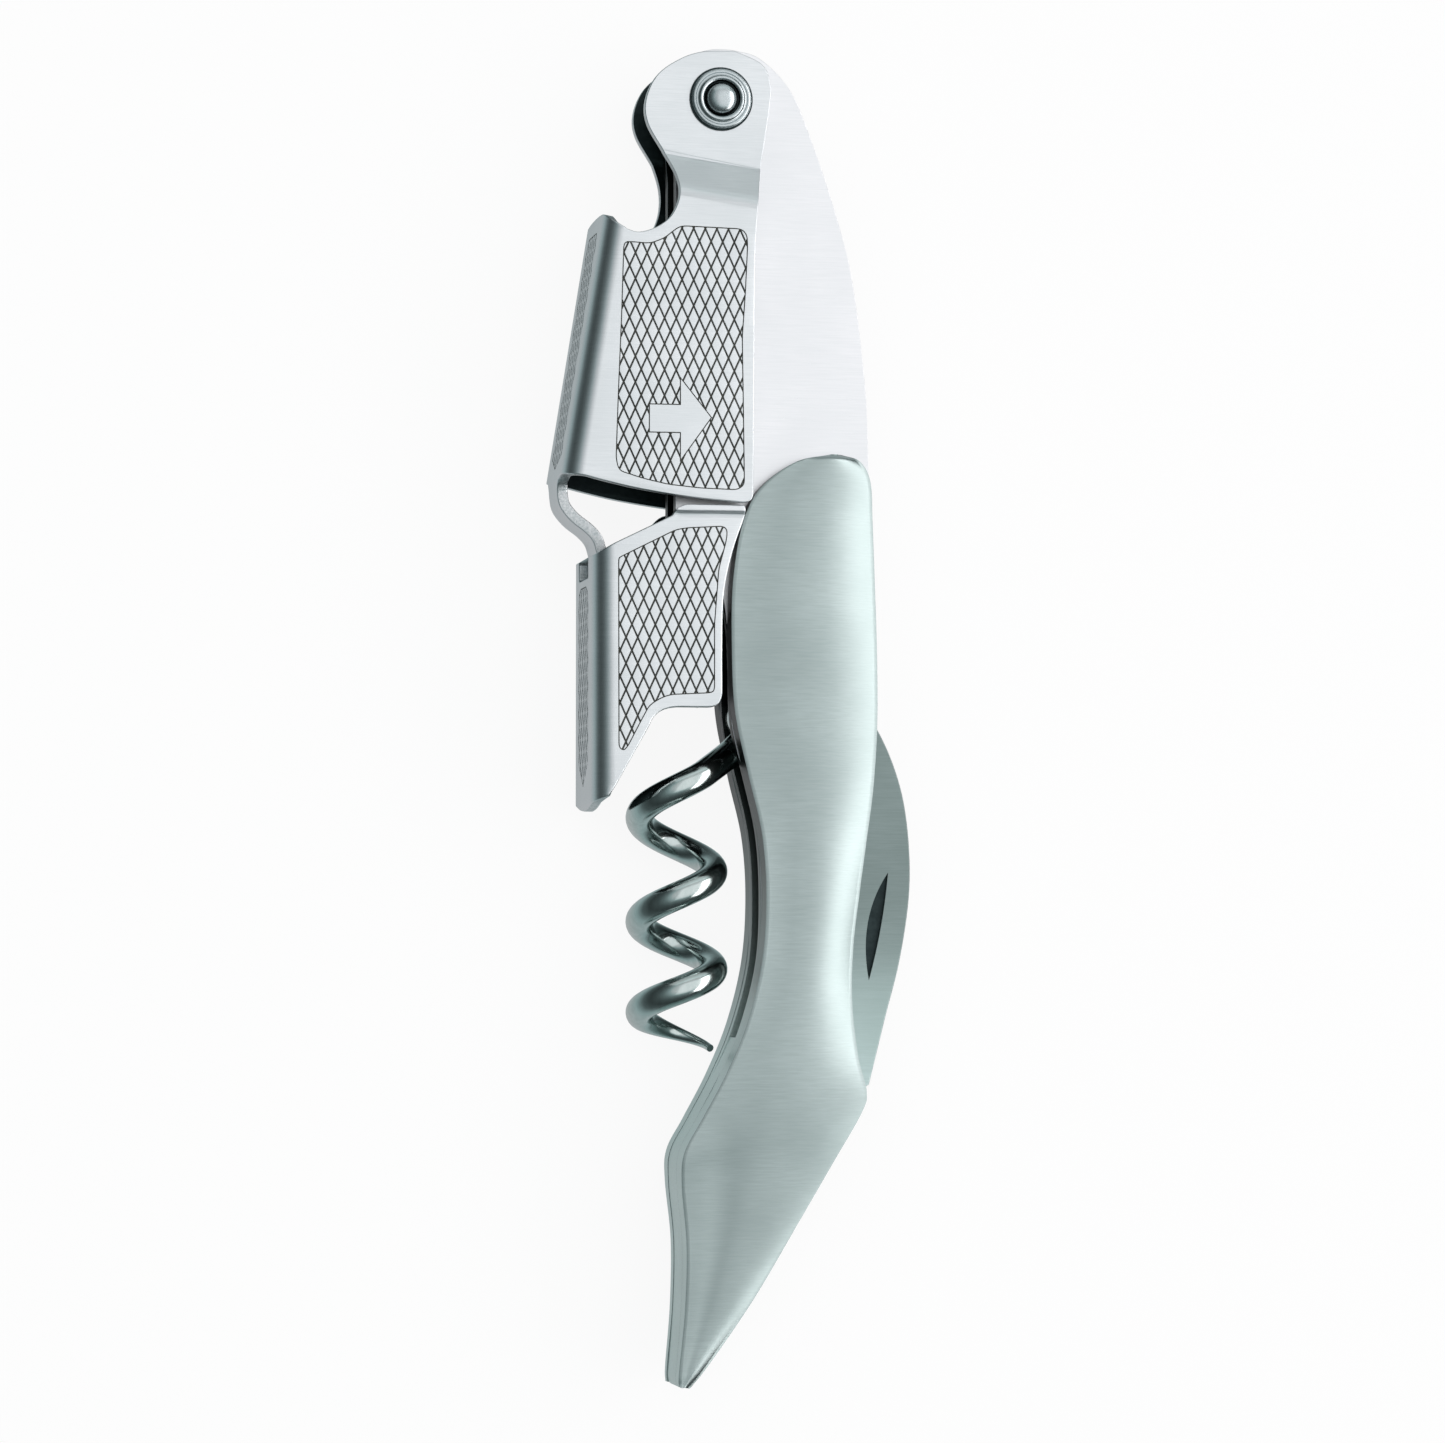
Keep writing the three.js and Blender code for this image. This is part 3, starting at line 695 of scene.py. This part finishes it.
def add_cuts(mesh, across=(), along=()):
    """Adds edges across the sheet and along it, where it is going to bend."""
    work = bmesh.new()
    work.from_mesh(mesh)
    for axis, places in ((0, across), (1, along)):
        for place in places:
            at = [0, 0, 0]
            way = [0, 0, 0]
            at[axis], way[axis] = place, 1
            everything = work.verts[:] + work.edges[:] + work.faces[:]
            bmesh.ops.bisect_plane(work, geom=everything, plane_co=at, plane_no=way, dist=1e-5)
    work.to_mesh(mesh)
    work.free()


bend_places = np.linspace(SPINE_HALF, FLANGE_START, 11)
bend_cuts = [side * place for place in bend_places for side in (-1, 1)]
print("flange starts", round(FLANGE_START, 2), "mm from the middle of the spine")

# %% [markdown]
# ## Diamond knurling
# The grip panels are sunk 0.16 mm, those of the spines 0.04 mm, and all are filled with low diamond
# pads whose rims stop just short of the surface. There are nearly a thousand, so a Geometry Nodes
# tree makes them: two grids of points, half a step apart, carry one four-sided pad each, and a
# Boolean cuts through those at the panel's edge, as on the real sheet.

# %% Knurl tree
KNURL_PITCH = (1.09, 2.4)
KNURL_DEPTH = 0.16
SPINE_DEPTH = 0.04
KNURL_INPUTS = [("Step across", "Float"), ("Step along", "Float"), ("Columns", "Int"), ("Rows", "Int"),
                ("Foot share", "Float"), ("Crest share", "Float"), ("Depth", "Float"),
                ("Crown", "Float"), ("Centre", "Vector"), ("Finish", "Material")]


def math_node(tree, operation, first, second):
    node = add_node(tree, "ShaderNodeMath", operation=operation)
    for socket, value in zip(node.inputs, (first, second)):
        if isinstance(value, (int, float)):
            socket.default_value = value
        else:
            tree.links.new(value, socket)
    return node.outputs["Value"]


def knurl_tree():
    tree = bpy.data.node_groups.new("diamond knurl", "GeometryNodeTree")
    add = partial(add_node, tree)
    tree.interface.new_socket("Panel", in_out="INPUT", socket_type="NodeSocketGeometry")
    for name, kind in KNURL_INPUTS:
        tree.interface.new_socket(name, in_out="INPUT", socket_type="NodeSocket" + kind)
    tree.interface.new_socket("Pads", in_out="OUTPUT", socket_type="NodeSocketGeometry")
    given = add("NodeGroupInput").outputs
    step_x, step_y = given["Step across"], given["Step along"]
    # One grid of points, and the same grid half a step further each way.
    width = math_node(tree, "MULTIPLY", step_x, math_node(tree, "SUBTRACT", given["Columns"], 1))
    length = math_node(tree, "MULTIPLY", step_y, math_node(tree, "SUBTRACT", given["Rows"], 1))
    grid = add("GeometryNodeMeshGrid", {"Size X": width, "Size Y": length,
         "Vertices X": given["Columns"], "Vertices Y": given["Rows"]})
    half_x, half_y = (math_node(tree, "MULTIPLY", step, 0.5) for step in (step_x, step_y))
    half_step = add("ShaderNodeCombineXYZ", {"X": half_x, "Y": half_y})
    second = add("GeometryNodeTransform", {"Geometry": grid.outputs["Mesh"],
           "Translation": half_step.outputs["Vector"]})
    grids = add("GeometryNodeJoinGeometry", {"Geometry": grid.outputs["Mesh"]})
    tree.links.new(second.outputs["Geometry"], grids.inputs["Geometry"])
    lattice = add("GeometryNodeTransform", {"Geometry": grids.outputs["Geometry"],
            "Translation": given["Centre"]})
    # One pad: a four-sided cone cut off low, its top raised a little to a crown in the middle.
    pad = add("GeometryNodeMeshCone", {"Radius Top": given["Crest share"],
        "Radius Bottom": given["Foot share"], "Depth": given["Depth"]},
        fill_type="TRIANGLE_FAN", Vertices=4)
    place = add("GeometryNodeInputPosition")
    place_parts = add("ShaderNodeSeparateXYZ", {"Vector": place.outputs["Position"]})
    outward = add("ShaderNodeVectorMath", {0: place.outputs["Position"]},
            operation="MULTIPLY")
    outward.inputs[1].default_value = (1, 1, 0)
    off_centre = add("ShaderNodeVectorMath", {0: outward.outputs["Vector"]},
               operation="LENGTH")
    is_middle = math_node(tree, "LESS_THAN", off_centre.outputs["Value"], 0.01)
    half_depth = math_node(tree, "MULTIPLY", given["Depth"], 0.5)
    is_top = math_node(tree, "GREATER_THAN", place_parts.outputs["Z"], half_depth)
    is_peak = math_node(tree, "MULTIPLY", is_middle, is_top)
    crown = math_node(tree, "MULTIPLY", is_peak, given["Crown"])
    lift = add("ShaderNodeCombineXYZ", {"Z": crown})
    crowned = add("GeometryNodeSetPosition", {"Geometry": pad.outputs["Mesh"],
            "Offset": lift.outputs["Vector"]})
    stretch = add("ShaderNodeCombineXYZ", {"X": half_x, "Y": half_y}, Z=1.0)
    diamond = add("GeometryNodeTransform", {"Geometry": crowned.outputs["Geometry"],
            "Scale": stretch.outputs["Vector"]})
    copies = add("GeometryNodeInstanceOnPoints", {"Points": lattice.outputs["Geometry"],
           "Instance": diamond.outputs["Geometry"]})
    real = add("GeometryNodeRealizeInstances", {"Geometry": copies.outputs["Instances"]})
    kept = add("GeometryNodeMeshBoolean", {"Mesh 2": real.outputs["Geometry"]},
         operation="INTERSECT")
    tree.links.new(given["Panel"], kept.inputs["Mesh 2"])
    finished = add("GeometryNodeSetMaterial", {"Geometry": kept.outputs["Mesh"],
             "Material": given["Finish"]})
    add("NodeGroupOutput", {"Pads": finished.outputs["Geometry"]})
    return tree


KNURL = knurl_tree()

# %% Knurled panels
def turned_points(points, angle):
    return [Matrix.Rotation(angle, 2) @ p for p in points]


def rounded(points, radius):
    """The outline with every corner rounded."""
    made = []
    for before, here, after in zip(points[-1:] + points[:-1], points, points[1:] + points[:1]):
        back, on = before - here, after - here
        start = here + back.normalized() * min(radius, back.length * 0.45)
        end = here + on.normalized() * min(radius, on.length * 0.45)
        made += Outline(*start).corner(here, end, 4).points
    return made


def knurl_pads(outline, holes=(), turn=0.0, foot=0.93, crest=0.82, depth=KNURL_DEPTH):
    """Diamond pads that fill the panel, on the flat pattern, their columns turned by `turn`."""
    outline = turned_points(outline, -turn)
    holes = [turned_points(hole, -turn) for hole in holes]
    xs, ys = [p.x for p in outline], [p.y for p in outline]
    centre = ((min(xs) + max(xs)) / 2, (min(ys) + max(ys)) / 2)
    surface = SHEET / 2
    panel = staged(plate(outline, surface - depth * 1.2, surface + 0.3, 0.0, holes, 0.1))
    settings = {"Step across": KNURL_PITCH[0], "Step along": KNURL_PITCH[1],
                "Columns": int((max(xs) - min(xs)) / KNURL_PITCH[0]) + 4,
                "Rows": int((max(ys) - min(ys)) / KNURL_PITCH[1]) + 4,
                "Foot share": foot, "Crest share": crest, "Depth": depth, "Crown": 0.2 * depth,
                "Centre": (*centre, surface - depth * 1.15), "Finish": LEVER_STEEL}
    modifier = panel.modifiers.new("knurl", "NODES")
    modifier.node_group = KNURL
    sockets = {item.name: item.identifier for item in KNURL.interface.items_tree}
    for name, value in settings.items():
        modifier[sockets[name]] = value
    pads = evaluated_mesh(panel)
    pads.transform(Matrix.Rotation(turn, 4, "Z"))
    return pads


def sunk_panel(sheet, outline, holes=(), depth=KNURL_DEPTH):
    """Sinks a panel into the face of the flat sheet."""
    surface = SHEET / 2
    return cut(sheet, plate(outline, surface - depth, surface + 0.5, 0.0, holes))


def joined(meshes):
    """One mesh of several."""
    work = bmesh.new()
    for mesh in meshes:
        work.from_mesh(mesh)
    made = bpy.data.meshes.new("joined")
    work.to_mesh(made)
    work.free()
    return made


def flipped(points):
    return [Vector((-p.x, p.y)) for p in points]


def sort_finishes(mesh):
    """While the sheet is flat, marks cut edges (1), panel floors (2) and the inside face (3); the
    floors and the inside face are painted dark as shade.
    """
    surface = SHEET / 2
    for face in mesh.polygons:
        sunk = surface - KNURL_DEPTH * 1.5 < face.center.z < surface - 0.01
        if sunk and face.normal.z > 0.9:
            face.material_index = 2
        elif abs(face.normal.z) < 0.2:
            face.material_index = 1
        elif face.normal.z < -0.9:
            face.material_index = 3
        else:
            face.material_index = 0


# %% [markdown]
# ## Upper lever
# Its flat pattern is one stamping: a narrow strap at the foot that curls round the hinge pin, the
# spine with its low hump, and a flange on each side that runs up to a round ear. The ears step
# inwards to lie on the handle's plates. Each flange has a knurled panel with a plain arrow left
# standing in it, and the spine has a narrow panel of its own.

# %% Upper lever, flat pattern
UPPER_LEAN = 0.161
upper = Channel((-17.14, 18.0), UPPER_LEAN)
STRAP_HALF = 2.6
STRAP_TOP = 4.0
STRAP_END = -9.4
upper_flange = (
    Outline(-14.4, 22.05)
    .smooth((-12.6, 21.6), (-9.3, 20.9), (-4.5, 20.2), (0.2, 19.8))
    .corner((1.3, 19.7), (1.3, 20.7))
    .line((1.4, 36.0))
    .smooth((1.5, 43.0), (1.8, 47.5), (2.5, 51.6), (3.3, 57.0), (3.4, 59.3), (2.6, 61.1),
            (0.0, 62.3))
    .smooth((-3.2, 62.1), (-5.5, 61.2), (-7.4, 59.7), (-8.4, 57.4), (-8.2, 55.2), (-6.6, 52.4),
            (-5.7, 50.2), (-5.6, 48.2), (-6.4, 46.3), (-7.8, 45.2), (-9.4, 44.7), (-10.5, 44.95))
).points
upper_half = (
    Outline(0.0, STRAP_END).line((STRAP_HALF - 0.3, STRAP_END), (STRAP_HALF, STRAP_END + 0.3),
                                 (STRAP_HALF, 3.0))
    .smooth((2.9, 3.75), (3.7, 4.2), (5.0, 4.35))
    .line(*upper.flat(upper_flange))
    .smooth((6.1, 28.2), (5.2, 28.7), (4.2, 28.95), (2.2, 29.1), (0.0, 29.15))
).points
ear = upper.flat([RIVET])[0]
ear_holes = [circle((side * ear.x, ear.y), RIVET_HOLE) for side in (1, -1)]
upper_sheet = plate(both_sides(upper_half), -SHEET / 2, SHEET / 2, 0.09, ear_holes)
print("upper lever, flat:", len(upper_sheet.polygons), "faces")

# %% Upper lever, panels
grip_outline = rounded(upper.flat([
    (-10.9, 43.5), (-11.1, 36.9), (-11.4, 29.5), (-11.6, 23.6), (-11.3, 22.5), (-9.0, 21.8),
    (-6.7, 21.3), (-3.6, 21.0), (-0.2, 20.9), (0.5, 21.4), (0.4, 28.7), (0.3, 35.1), (0.6, 39.4),
    (0.8, 43.6), (0.75, 44.7), (0.2, 45.25), (-5.4, 45.4), (-6.0, 45.1), (-7.1, 44.2), (-8.4, 43.7),
    (-10.1, 43.8), (-10.6, 43.8)]), 0.5)
arrow_outline = upper.flat([(-8.4, 26.2), (-5.5, 26.2), (-5.5, 23.7), (-2.7, 27.6), (-5.5, 31.1),
                            (-5.5, 28.7), (-8.4, 28.7)])
spine_outline = [Vector(p) for p in [(0.0, 5.2), (3.0, 6.4), (3.0, 26.8), (2.3, 27.5), (-2.3, 27.5),
                                     (-3.0, 26.8), (-3.0, 6.4)]]
upper_pads = []
for turned, turn in ((list, UPPER_LEAN), (flipped, -UPPER_LEAN)):
    panel, arrow = turned(grip_outline), turned(arrow_outline)
    upper_sheet = sunk_panel(upper_sheet, panel, [arrow])
    upper_pads.append(knurl_pads(panel, [arrow], turn))
upper_sheet = sunk_panel(upper_sheet, spine_outline, depth=SPINE_DEPTH)
upper_pads.append(knurl_pads(spine_outline, foot=0.84, crest=0.78, depth=SPINE_DEPTH))
print("upper lever pads:", sum(len(mesh.polygons) for mesh in upper_pads), "faces")

# %% Upper lever, folding
STEP_START, STEP_END, STEP_DROP = 31.1, 35.8, 2.5
STEP_SOFT = 0.35
STEP_SLOPE = 0.05
STEP_MIDDLE = 6
strap_line = smooth_line([(-16.005, 21.87), (-15.95, 20.6), (-15.7, 19.6), (-14.8, 18.5),
                          (-13.5, 17.5), (-12.7, 16.6), (-12.35, 15.6), (-12.12, 14.6)], 0.15)
KNUCKLE_RADIUS = 1.25
strap_line += [Vector(HINGE) + Vector((math.cos(a), math.sin(a))) * KNUCKLE_RADIUS
               for a in np.linspace(math.pi * 1.0, math.pi * 2.45, 60)]
strap_line = np.array(strap_line)
strap_steps = np.diff(strap_line, axis=0)
strap_run = np.concatenate([[0], np.cumsum(np.linalg.norm(strap_steps, axis=1))])
strap_angle = np.unwrap(np.arctan2(*np.gradient(strap_line, strap_run, axis=0).T[::-1]))


def fold_upper(points):
    """Folds the flanges, steps the ears inwards and bends the strap."""
    across, along, raised = points.T
    folded = upper.fold(points)
    level = along - STEP_SLOPE * (np.abs(across) - FLANGE_START - STEP_MIDDLE)
    t = np.clip((level - STEP_START) / (STEP_END - STEP_START), 0, 1)
    drop = np.where(t < STEP_SOFT, t ** 2 / (2 * STEP_SOFT), t - STEP_SOFT / 2) / (1 - STEP_SOFT / 2)
    folded[:, 2] -= np.sign(across) * (np.abs(across) > FLANGE_START) * drop * STEP_DROP
    on_strap = (along < STRAP_TOP) & (np.abs(across) < SPINE_HALF)
    run = STRAP_TOP - along[on_strap]
    angle = np.interp(run, strap_run, strap_angle)
    for axis, outward in ((0, np.sin(angle)), (1, -np.cos(angle))):
        on_line = np.interp(run, strap_run, strap_line[:, axis])
        folded[on_strap, axis] = on_line + outward * raised[on_strap]
    folded[on_strap, 2] = across[on_strap]
    return folded


step_cuts = np.linspace(STEP_START - 0.5, STEP_END + 0.5, 21)
strap_cuts = np.linspace(STRAP_END + 0.2, STRAP_TOP, 60)
sort_finishes(upper_sheet)
add_cuts(upper_sheet, bend_cuts, [*step_cuts, *strap_cuts])
print("strap:", round(strap_run[-1], 1), "mm, and its sheet:", round(STRAP_TOP - STRAP_END, 1), "mm")
lever_steels = [LEVER_STEEL, EDGE_STEEL, SHADED_KNURL_FLOOR_STEEL, SHADE_PAINTED_STEEL]
set_points(upper_sheet, fold_upper(mesh_points(upper_sheet)))
finish_piece("lever_upper", upper_sheet, "upper_lever", ["upper_lever"], lever_steels)

# %% Upper lever, diamonds
pads = joined(upper_pads)
set_points(pads, fold_upper(mesh_points(pads)))
finish_piece("lever_upper_knurl", pads, "upper_lever", [], [LEVER_STEEL], 12, False)

# %% [markdown]
# ## Lower lever
# The second stage is a shorter channel of the same sheet. Its spine ends below in a round tongue
# and is notched above for the strap, and its flanges are pressed thinner along their top edges.

# %% Lower lever, flat pattern
lower = Channel((-13.6, -12.0), 0.0)
lower_flange = (
    Outline(-11.5, -6.4).line((-8.4, -0.9))
    .corner((-7.9, 0.7), (-5.8, 0.8))
    .line((-2.9, 0.8))
    .corner((-1.7, 0.8), (-1.6, 2.2))
    .smooth((-1.6, 7.0), (-1.5, 10.7), (-1.1, 13.4), (-0.4, 16.0), (0.4, 18.2), (0.65, 19.0))
    .corner((0.8, 19.6), (0.3, 19.6), 4)
    .line((-4.6, 19.6))
    .corner((-5.6, 19.6), (-6.3, 18.5))
    .line((-11.6, 15.9))
).points
NOTCH_HALF = 2.9
lower_half = (
    Outline(0.0, 3.35).smooth((2.0, 3.5), (3.6, 3.75), (5.2, 4.1), (6.4, 4.6))
    .line(*lower.flat(lower_flange))
    .smooth((5.8, 27.2), (5.0, 26.85), (4.0, 26.8))
    .line((NOTCH_HALF + 0.3, 26.8), (NOTCH_HALF, 26.5), (NOTCH_HALF, 25.3))
    .corner((NOTCH_HALF, 24.9), (NOTCH_HALF - 0.4, 24.9))
    .line((0.0, 24.9))
).points
lower_pattern = both_sides(lower_half)
# The rear flange's foot is cut a little higher than the front one's.
for point in lower_pattern:
    if point.x < -FLANGE_START - 3 and 11 < point.y < 13.4:
        point.y += 0.8
lower_sheet = plate(lower_pattern, -SHEET / 2, SHEET / 2, 0.13)

lower_grip = rounded(lower.flat([
    (-11.2, 14.6), (-6.0, 17.2), (-4.9, 17.4), (-1.5, 17.6), (-1.1, 17.2), (-1.2, 16.2), (-1.9, 13.6),
    (-2.3, 8.5), (-2.3, 4.3), (-2.3, 2.4), (-2.6, 2.1), (-6.4, 1.9), (-7.3, 1.6), (-8.4, 0.9),
    (-9.2, -0.6), (-10.4, -2.9), (-10.8, -3.3), (-11.3, -3.0), (-11.35, 14.4)]), 0.5)
lower_spine = [Vector(p) for p in [
    (0.0, 5.6), (2.6, 7.6), (3.0, 8.4), (3.0, 22.9), (2.6, 23.7), (1.6, 24.2), (-1.6, 24.2),
    (-2.6, 23.7), (-3.0, 22.9), (-3.0, 8.4), (-2.6, 7.6)]]
lower_pads = []
for turned in (list, flipped):
    lower_sheet = sunk_panel(lower_sheet, turned(lower_grip))
    lower_pads.append(knurl_pads(turned(lower_grip)))
lower_sheet = sunk_panel(lower_sheet, lower_spine, depth=SPINE_DEPTH)
lower_pads.append(knurl_pads(lower_spine, foot=0.84, crest=0.78, depth=SPINE_DEPTH))

# %% Lower lever, folding
# How far the outer face is pressed in along the top edge, up to the flat ledge.
LEDGE_ALONG = [29.8, 30.3, 30.65, 31.05, 31.2, 31.7]
LEDGE_DROP = [0, 0.05, 0.15, 0.58, 0.62, 0.62]
LEDGE_FROM = FLANGE_START + 4.6
LEDGE_RAMP = 1.5


def fold_lower(points):
    """Folds the flanges, whose outer faces are pressed in along their top edges."""
    folded = lower.fold(points)
    across, along, raised = points.T
    reach = np.clip((np.abs(across) - LEDGE_FROM) / LEDGE_RAMP, 0, 1)
    reach = reach * np.clip(raised / SHEET + 0.5, 0, 1)
    folded[:, 2] -= np.sign(across) * reach * np.interp(along, LEDGE_ALONG, LEDGE_DROP)
    return folded


sort_finishes(lower_sheet)
ledge_cuts = [side * (LEDGE_FROM + i * 0.375) for i in range(5) for side in (-1, 1)]
rows_of_cuts = [*LEDGE_ALONG[:-1], *np.arange(29.9, 31.4, 0.15)]
add_cuts(lower_sheet, [*bend_cuts, *ledge_cuts], rows_of_cuts)
set_points(lower_sheet, fold_lower(mesh_points(lower_sheet)))
finish_piece("lever_lower", lower_sheet, "lower_lever", ["lower_lever"], lever_steels)
pads = joined(lower_pads)
set_points(pads, fold_lower(mesh_points(pads)))
finish_piece("lever_lower_knurl", pads, "lower_lever", [], [LEVER_STEEL], 12, False)

# %% [markdown]
# ## Lever rivet
# The rivet is turned in a lathe and peened over: a domed head stands in the middle of a stepped
# ring. A profile spun round an axis is the natural way to make both.

# %% Turned pieces
def turned_mesh(profile, at, closed=True, sides=96):
    """A profile of (radius, height) points spun about a line through `at`."""
    points, faces = [], []
    for i in range(sides):
        angle = math.tau * i / sides
        across, up = math.cos(angle), math.sin(angle)
        points += [(at[0] + radius * across, at[1] + radius * up, height) for radius, height in profile]
    count = len(profile)
    for i in range(sides):
        for k in range(count if closed else count - 1):
            a, b = i * count + k, i * count + (k + 1) % count
            c, d = ((i + 1) % sides) * count + (k + 1) % count, ((i + 1) % sides) * count + k
            faces.append((a, b, c, d))
    return cleaned(built_mesh("turned", points, faces))


head_half = [(0.0, 5.1), (0.4, 5.08), (0.8, 5.0), (1.13, 4.86), (1.36, 4.66), (1.48, 4.42),
             (1.52, 4.2), (1.58, 4.1), (1.65, 4.1)]
rivet_profile = head_half + [(radius, -height) for radius, height in head_half[::-1]]
rivet_steels = [RIVET_STEEL, SHADE_PAINTED_STEEL]
ring_profile = [(RIVET_HOLE, 4.05), (2.98, 4.05), (2.98, 4.12), (2.8, 4.12), (2.8, 4.34), (2.74, 4.43),
                (2.62, 4.5), (2.48, 4.5), (2.44, 4.44), (2.38, 4.5), (2.26, 4.5), (2.16, 4.56),
                (2.1, 4.66), (2.0, 4.72), (1.86, 4.7), (RIVET_HOLE, 4.6)]


def mark_shaded_crevices(mesh, bands):
    """Marks the faces that lie within a band round the rivet's middle as dark (material 1): painted
    shade in the crevices round the rivet.
    """
    for face in mesh.polygons:
        radius = (face.center.xy - Vector(RIVET)).length
        face.material_index = int(any(low < radius < high for low, high in bands))
    return mesh


ring = mark_shaded_crevices(turned_mesh(ring_profile, RIVET), [(0, 1.8), (2.81, 4)])
rivet_mesh = mark_shaded_crevices(turned_mesh(rivet_profile, RIVET, False), [(1.49, 2)])
finish_piece("rivet", rivet_mesh, "handle", ["lever_rivet"], rivet_steels, 40, False)
finish_both("rivet_ring_{}_turned", ring, "upper_lever", "rivet_ring_{}", rivet_steels,
            40, False)

# %% [markdown]
# ## Worm
# The worm is one round wire, wound into a helix that tightens slightly and is ground to a point.
# A ring of points is carried along the helix without twisting, and it shrinks towards the tip.

# %% Worm path
WIRE = 1.3
HELIX_X, HELIX_RADIUS = -4.8, 3.45
HELIX_START, HELIX_END = 0.12, 2.96


def helix_point(turn):
    angle = turn * math.tau
    down = -3.6 - 10.9 * turn + 0.6 * turn ** 2
    return Vector((HELIX_X + HELIX_RADIUS * math.cos(angle), down, HELIX_RADIUS * math.sin(angle)))


worm_knots = [Vector((1.7, -1.7, 0.0)), Vector((0.3, -3.1, 0.1))]
worm_knots += [helix_point(turn) for turn in np.linspace(HELIX_START, HELIX_END, 70)]
worm_line = smooth_line(worm_knots, 0.22)
TAPER_FROM = 0.85
TIP_SHARE = 0.27


# %% Worm mesh
def wire_mesh(line, radius_at, sides=28):
    points, faces = [], []
    count = len(line)
    aside = Vector((0, 0, 1))
    for i, at in enumerate(line):
        way = (line[min(i + 1, count - 1)] - line[max(i - 1, 0)]).normalized()
        aside = (aside - way * aside.dot(way)).normalized()
        over = way.cross(aside)
        radius = radius_at(i / (count - 1))
        for k in range(sides):
            angle = math.tau * k / sides
            points.append(at + (aside * math.cos(angle) + over * math.sin(angle)) * radius)
    for i in range(count - 1):
        for k in range(sides):
            a, b = i * sides + k, i * sides + (k + 1) % sides
            faces.append((a, b, b + sides, a + sides))
    faces += [tuple(range(sides)), tuple(range((count - 1) * sides, count * sides))]
    return cleaned(built_mesh("wire", points, faces))


def worm_radius(along):
    t = min(max((along - TAPER_FROM) / (1 - TAPER_FROM), 0), 1)
    return WIRE * (1 - (1 - TIP_SHARE) * t * t * (3 - 2 * t))


eye_profile = [(WORM_HOLE, -1.3), (2.15, -1.3), (2.3, -1.15), (2.3, 1.15), (2.15, 1.3),
               (WORM_HOLE, 1.3)]
worm = joined([wire_mesh(worm_line, worm_radius), turned_mesh(eye_profile, WORM_PIVOT)])
finish_piece("worm_wire", worm, "worm", ["worm"], [WORM_CHROME], 50, False)

# %% [markdown]
# ## Foil blade
# The blade folds into the slot with its scalloped edge inwards. Only its back shows, with the
# crescent nick for a fingernail, a shallow Boolean cut into the flat plate.

# %% Foil blade
SCALLOPS = 12
SCALLOP_STEP = 2
NICK_FLOOR = 0.45
blade_outline = (
    Outline(12.6, 1.4)
    .smooth((14.3, -1.1), (15.7, -4.2), (16.7, -7.8), (17.2, -12.4), (17.1, -17.0), (16.2, -22.6),
            (14.9, -27.6))
    .line((13.3, -34.0))
    .arc(BLADE_PIVOT, 1.8, 0.3, -math.pi, 20)
    .line((7.4, -33.0), (10.4, -30.4), (10.5, -28.8))
)
for i in range(SCALLOPS):
    middle = -27.5 + SCALLOP_STEP * i
    blade_outline.smooth((10.85, middle), (10.5, middle + 1.0))
blade_outline.line((10.5, -4.0)).corner((10.9, -0.6), (12.6, 1.4))
blade_mesh = plate(blade_outline.points, -0.8, 0.8, 0.1, [circle(BLADE_PIVOT, BLADE_HOLE)])
nick = Outline(15.15, -14.2).corner((12.2, -18.5), (13.3, -24.3), 14)
nick.corner((14.7, -19.3), (15.15, -14.2), 14)
blade_mesh = cut(blade_mesh, plate(nick.points, NICK_FLOOR, 1.6, 0.0))
# The nick's floor takes the dark steel: painted shade down in the nick.
for face in blade_mesh.polygons:
    face.material_index = int(abs(face.center.z - NICK_FLOOR) < 0.01 and face.normal.z > 0.9)
finish_piece("foil_blade_leaf", blade_mesh, "blade", ["foil_blade"],
             [BLADE_STEEL, SHADE_PAINTED_STEEL])

# %% [markdown]
# ## Inner pieces
# Pins, washers, the head bush and the worm's leaf spring sit inside the handle. Their solids
# already have the right shape, so they stay and take a plain mill finish.

# %% Inner pieces
stood_for = {"front_liner", "rear_liner", "back_bar", "tail_spacer", "front_shell", "rear_shell",
             "upper_lever", "lower_lever", "lever_rivet", "rivet_ring_front", "rivet_ring_rear",
             "worm", "foil_blade"}
for name, node in frame["nodes"].items():
    if name not in stood_for:
        node.data.materials.clear()
        node.data.materials.append(INNER_STEEL)
print("inner pieces:", len(frame["nodes"]) - len(stood_for))

# %% Sizes
print("triangles:", sum(len(p.vertices) - 2 for piece in pieces for p in piece.data.polygons))
